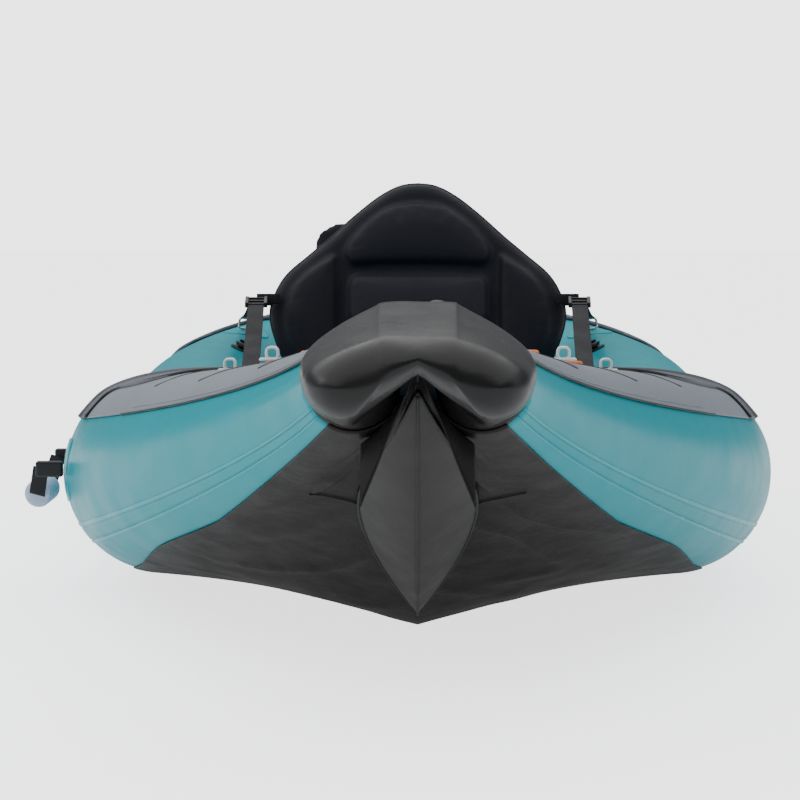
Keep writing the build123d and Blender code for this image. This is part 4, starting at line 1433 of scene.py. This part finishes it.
def handle(name, body, hinge, out, grip_finish):
    normal = Vector((0, 1, 0)).cross(out)
    route = [hinge + Vector((0, a, 0)) + out * b
             for a, b in ((-strap_root, 0), (-strap_corner, grip_reach), (strap_corner, grip_reach),
                          (strap_root, 0))]
    path = even(filleted(route, 0.012), 0.006)
    strap = sweep(f"{name}_handle_strap", path, rounded(0.020, 0.0025, 0.0009, 3), normal,
                  finishes["webbing"])
    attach(strap, body)
    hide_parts(f"{name}_handle_webbing")
    grip = lathe(f"{name}_handle_sleeve", grip_profile(), hinge + out * grip_reach, Vector((0, 1, 0)),
                 finishes[grip_finish])
    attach(grip, body)
    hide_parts(f"{name}_handle_grip")


droop = math.radians(75)
side_hinge = Vector((-0.4758, side_handle_y, 0.16605))
handle("side", "side_handle", side_hinge, Vector((-math.cos(droop), 0, -math.sin(droop))), "grip")
rise = math.radians(2.5)
for name, end in ends:
    handle(name, f"{name}_handle", Vector((end_handle_x, end * end_handle_y, 0.3828)),
           Vector((math.cos(rise), 0, math.sin(rise))), "buckle")

handle_patch = tube_patch("side_patch", side_handle_y, -1, 88, 0.184, 0.084, 0.0015,
                          finishes["tape"], 9)
plates = [handle_patch]
for end in (-1, 1):
    y = side_handle_y + end * lug_shift
    plates.append(block("lug", Vector((side_hinge.x + 0.012, y, side_hinge.z)), side_lug,
                        finishes["buckle"], 0.003))
side_plate = joined("side_handle_base", plates)
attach(side_plate, "hull")
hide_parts("side_handle_patch")

lug_blocks = []
for name, end in ends:
    for shift in (-lug_shift, lug_shift):
        place = Vector((end_handle_x, end * end_handle_y + shift, 0.3725))
        lug_blocks.append(block("lug", place, end_lug, finishes["buckle"], 0.003))
lug_set = joined("end_lug_set", lug_blocks)
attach(lug_set, "hull")
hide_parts("end_handle_lugs")


# Floor: an air mattress with long beams, and a firm footrest across it

floor_thick = 0.070
floor_inset = 0.480
beam_width, beam_groove = 0.062, 0.006


def floor_half(y):
    return tube_x(y) - tube_r(y) - 0.006


def floor_low(y):
    touch = math.radians(touch_below(y))
    inner_x = tube_x(y) + 0.9 * tube_r(y) * math.sin(touch)
    inner_z = tube_z(y) + 0.9 * tube_r(y) * math.cos(touch)
    start = keel_z(y) + skin
    return start + (inner_z - start) * (floor_half(y) - 0.022) / inner_x + 0.008


def floor_piece():
    rows = []
    end = half_length - floor_inset
    for i in range(161):
        y = -end + 2 * end * i / 160
        low, half = floor_low(y), floor_half(y)
        line = []
        for a, b in rounded(2 * half, floor_thick, 0.022, 6):
            line.append(Vector((a, y, low + floor_thick / 2 + b)))
        top_right, top_left = line[6], line[7]
        flat = []
        for j in range(1, 96):
            p = top_right.lerp(top_left, j / 96)
            share = ease(min(p.x + half, half - p.x) / 0.05)
            beam = abs(math.sin(math.pi * (p.x / beam_width + 0.5))) ** 0.55
            p.z -= beam_groove * share * (1 - beam)
            flat.append(p)
        rows.append(line[:7] + flat + line[7:])
    return mesh_piece("floor_mattress", rows, finishes["floor"], close_rows=True, close_ends=True)


floor = floor_piece()
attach(floor, "hull")
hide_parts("floor")

rest_low, rest_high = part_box("footrest")
rest_mid = (rest_low[1] + rest_high[1]) / 2
rest_radius, rest_half = 0.042, 0.169
rest_z = rest_high[2] - rest_radius
rest_rows = []
for i in range(61):
    u = -1 + 2 * i / 60
    size = max(1 - abs(u) ** 14, 0.0) ** 0.5 * 0.94 + 0.06
    line = []
    for j in range(48):
        a = 2 * math.pi * j / 48
        y, z = rest_radius * math.sin(a), rest_radius * math.cos(a)
        ruck = 1 + 0.02 * noise.noise(Vector((u * 6, math.sin(a) * 2, math.cos(a) * 2)))
        if z < -rest_radius / 2:
            y = math.copysign(min(abs(y) + 0.004, 0.030), y)
            z = max(z * 1.2, -rest_radius)
        line.append(Vector((u * rest_half, rest_mid + y * size * ruck, rest_z + z * size * ruck)))
    rest_rows.append(line)
footrest = mesh_piece("footrest_bolster", rest_rows, finishes["seat"], close_rows=True, close_ends=True)
rest_bands = [footrest]
band_radius = rest_radius + 0.0012
for shift in (-0.115, 0.115):
    path = [Vector((shift, rest_mid + band_radius * math.sin(a), rest_z + band_radius * math.cos(a)))
            for a in (math.pi * (-0.68 + 1.36 * k / 30) for k in range(31))]
    rest_bands.append(sweep("band", path, rounded(0.025, 0.0016, 0.0006, 2), Vector((1, 0, 0)),
                            finishes["webbing"]))
footrest = joined("footrest_bolster", rest_bands)
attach(footrest, "footrest")
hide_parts("footrest")


# White bars on the port side

bar_end = -0.300
bars = []
for low, high, long in ((76, 79, 0.095), (81, 84, 0.070)):
    bars.append(strip("bar", 1, low, high, bar_end - long, bar_end, 0.0009, finishes["stripe"], 20, 5))
side_bars = joined("side_bars", bars)
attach(side_bars, "hull")
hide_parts("side_stripes")


# Valve caps, with a grip bar and ribs round the rim

rib_shape = block("rib", Vector(), Vector((0.0012, 0.0012, 0.0050)), finishes["valve"], 0.0003)
bpy.context.scene.collection.objects.unlink(rib_shape)


def valve_cap(name, origin, out):
    turn = Vector((0, 0, 1)).rotation_difference(out).to_matrix()
    base = 0.0033
    cap = lathe("cap", [(0.0, base + 0.0068), (0.009, base + 0.007), (0.0155, base + 0.007),
                        (0.0173, base + 0.0062), (0.0179, base + 0.0048), (0.0179, base + 0.0006),
                        (0.0172, base), (0.0127, base), (0.0127, -0.003), (0.0, -0.003)],
                origin, out, finishes["valve"])
    ring = [origin + turn @ Vector((0.0178 * math.cos(a), 0.0178 * math.sin(a), base + 0.0032))
            for a in (2 * math.pi * k / 96 for k in range(97))]
    bar = block("bar", origin + turn @ Vector((0, 0, base + 0.0088)), (0.0288, 0.0040, 0.0042),
                finishes["valve"], 0.0012, turn)
    ribs = row("ribs", ring, 0.0035, rib_shape, finishes["valve"], False)
    whole = joined(f"{name}_cap", [cap, ribs, bar])
    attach(whole, f"{name}_valve_cap")
    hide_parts(f"{name}_valve_cap")


valve_lean = -24
valve_y = 0.400
floor_valve_x, floor_valve_y = 0.105, 0.640
for name, side in sides:
    lean = math.radians(valve_lean)
    valve_cap(name, on_tube(valve_y, side, valve_lean),
              Vector((side * math.sin(lean), 0, math.cos(lean))))
valve_cap("floor", Vector((floor_valve_x, floor_valve_y, floor_low(floor_valve_y) + floor_thick)),
          Vector((0, 0, 1)))


# Small hard parts, with the frame's own form and softened edges

def softened(node, body, width, mat):
    form = bmesh.new()
    form.from_mesh(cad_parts[node].data)
    bmesh.ops.remove_doubles(form, verts=form.verts, dist=1e-6)
    bmesh.ops.dissolve_limit(form, angle_limit=math.radians(0.8), verts=form.verts, edges=form.edges)
    mesh = bpy.data.meshes.new(f"{node}_part")
    form.to_mesh(mesh)
    form.free()
    mesh.materials.clear()
    mesh.materials.append(mat)
    for poly in mesh.polygons:
        poly.material_index = 0
        poly.use_smooth = True
    piece = bpy.data.objects.new(f"{node}_part", mesh)
    bpy.context.scene.collection.objects.link(piece)
    edge = piece.modifiers.new("edge", "BEVEL")
    edge.width = width
    edge.segments = 2
    edge.limit_method = "ANGLE"
    edge.angle_limit = math.radians(32)
    edge.harden_normals = True
    settle(piece)
    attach(piece, body)
    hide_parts(node)


softened("skeg_base", "hull", 0.0012, finishes["keel"])
softened("skeg_fin", "skeg", 0.0016, finishes["keel"])
softened("skeg_pin", "skeg_pin", 0.0004, finishes["steel"])
softened("zip_pull", "zip_pull", 0.0005, finishes["buckle"])
softened("hinge_panel", "hull", 0.0003, finishes["webbing"])
for name in ("port", "starboard", "floor"):
    softened(f"{name}_valve_body", "hull", 0.0006, finishes["valve"])
    softened(f"{name}_valve_stem", f"{name}_valve_stem", 0.0003, finishes["valve"])


# Ground: a pale sheet, brighter to the camera than the light it throws up at the boat

ground_size = 30
thrown_glow, seen_glow = 0.35, 2.3
ground = mesh_piece("ground", [
    [Vector((-ground_size, -ground_size, 0)), Vector((ground_size, -ground_size, 0))],
    [Vector((-ground_size, ground_size, 0)), Vector((ground_size, ground_size, 0))],
], material("pale_ground", (0.86, 0.87, 0.88), 0.7, patchy=0.05, bump=0.02), smooth=False)
ground.location.z = -0.0005
ground_tree = ground.data.materials[0].node_tree
ray = ground_tree.nodes.new("ShaderNodeLightPath")
glow = ground_tree.nodes.new("ShaderNodeMapRange")
glow.inputs["To Min"].default_value = thrown_glow
glow.inputs["To Max"].default_value = seen_glow
ground_tree.links.new(ray.outputs["Is Camera Ray"], glow.inputs["Value"])
emission = ground_tree.nodes["Principled BSDF"].inputs["Emission Strength"]
ground_tree.links.new(glow.outputs["Result"], emission)
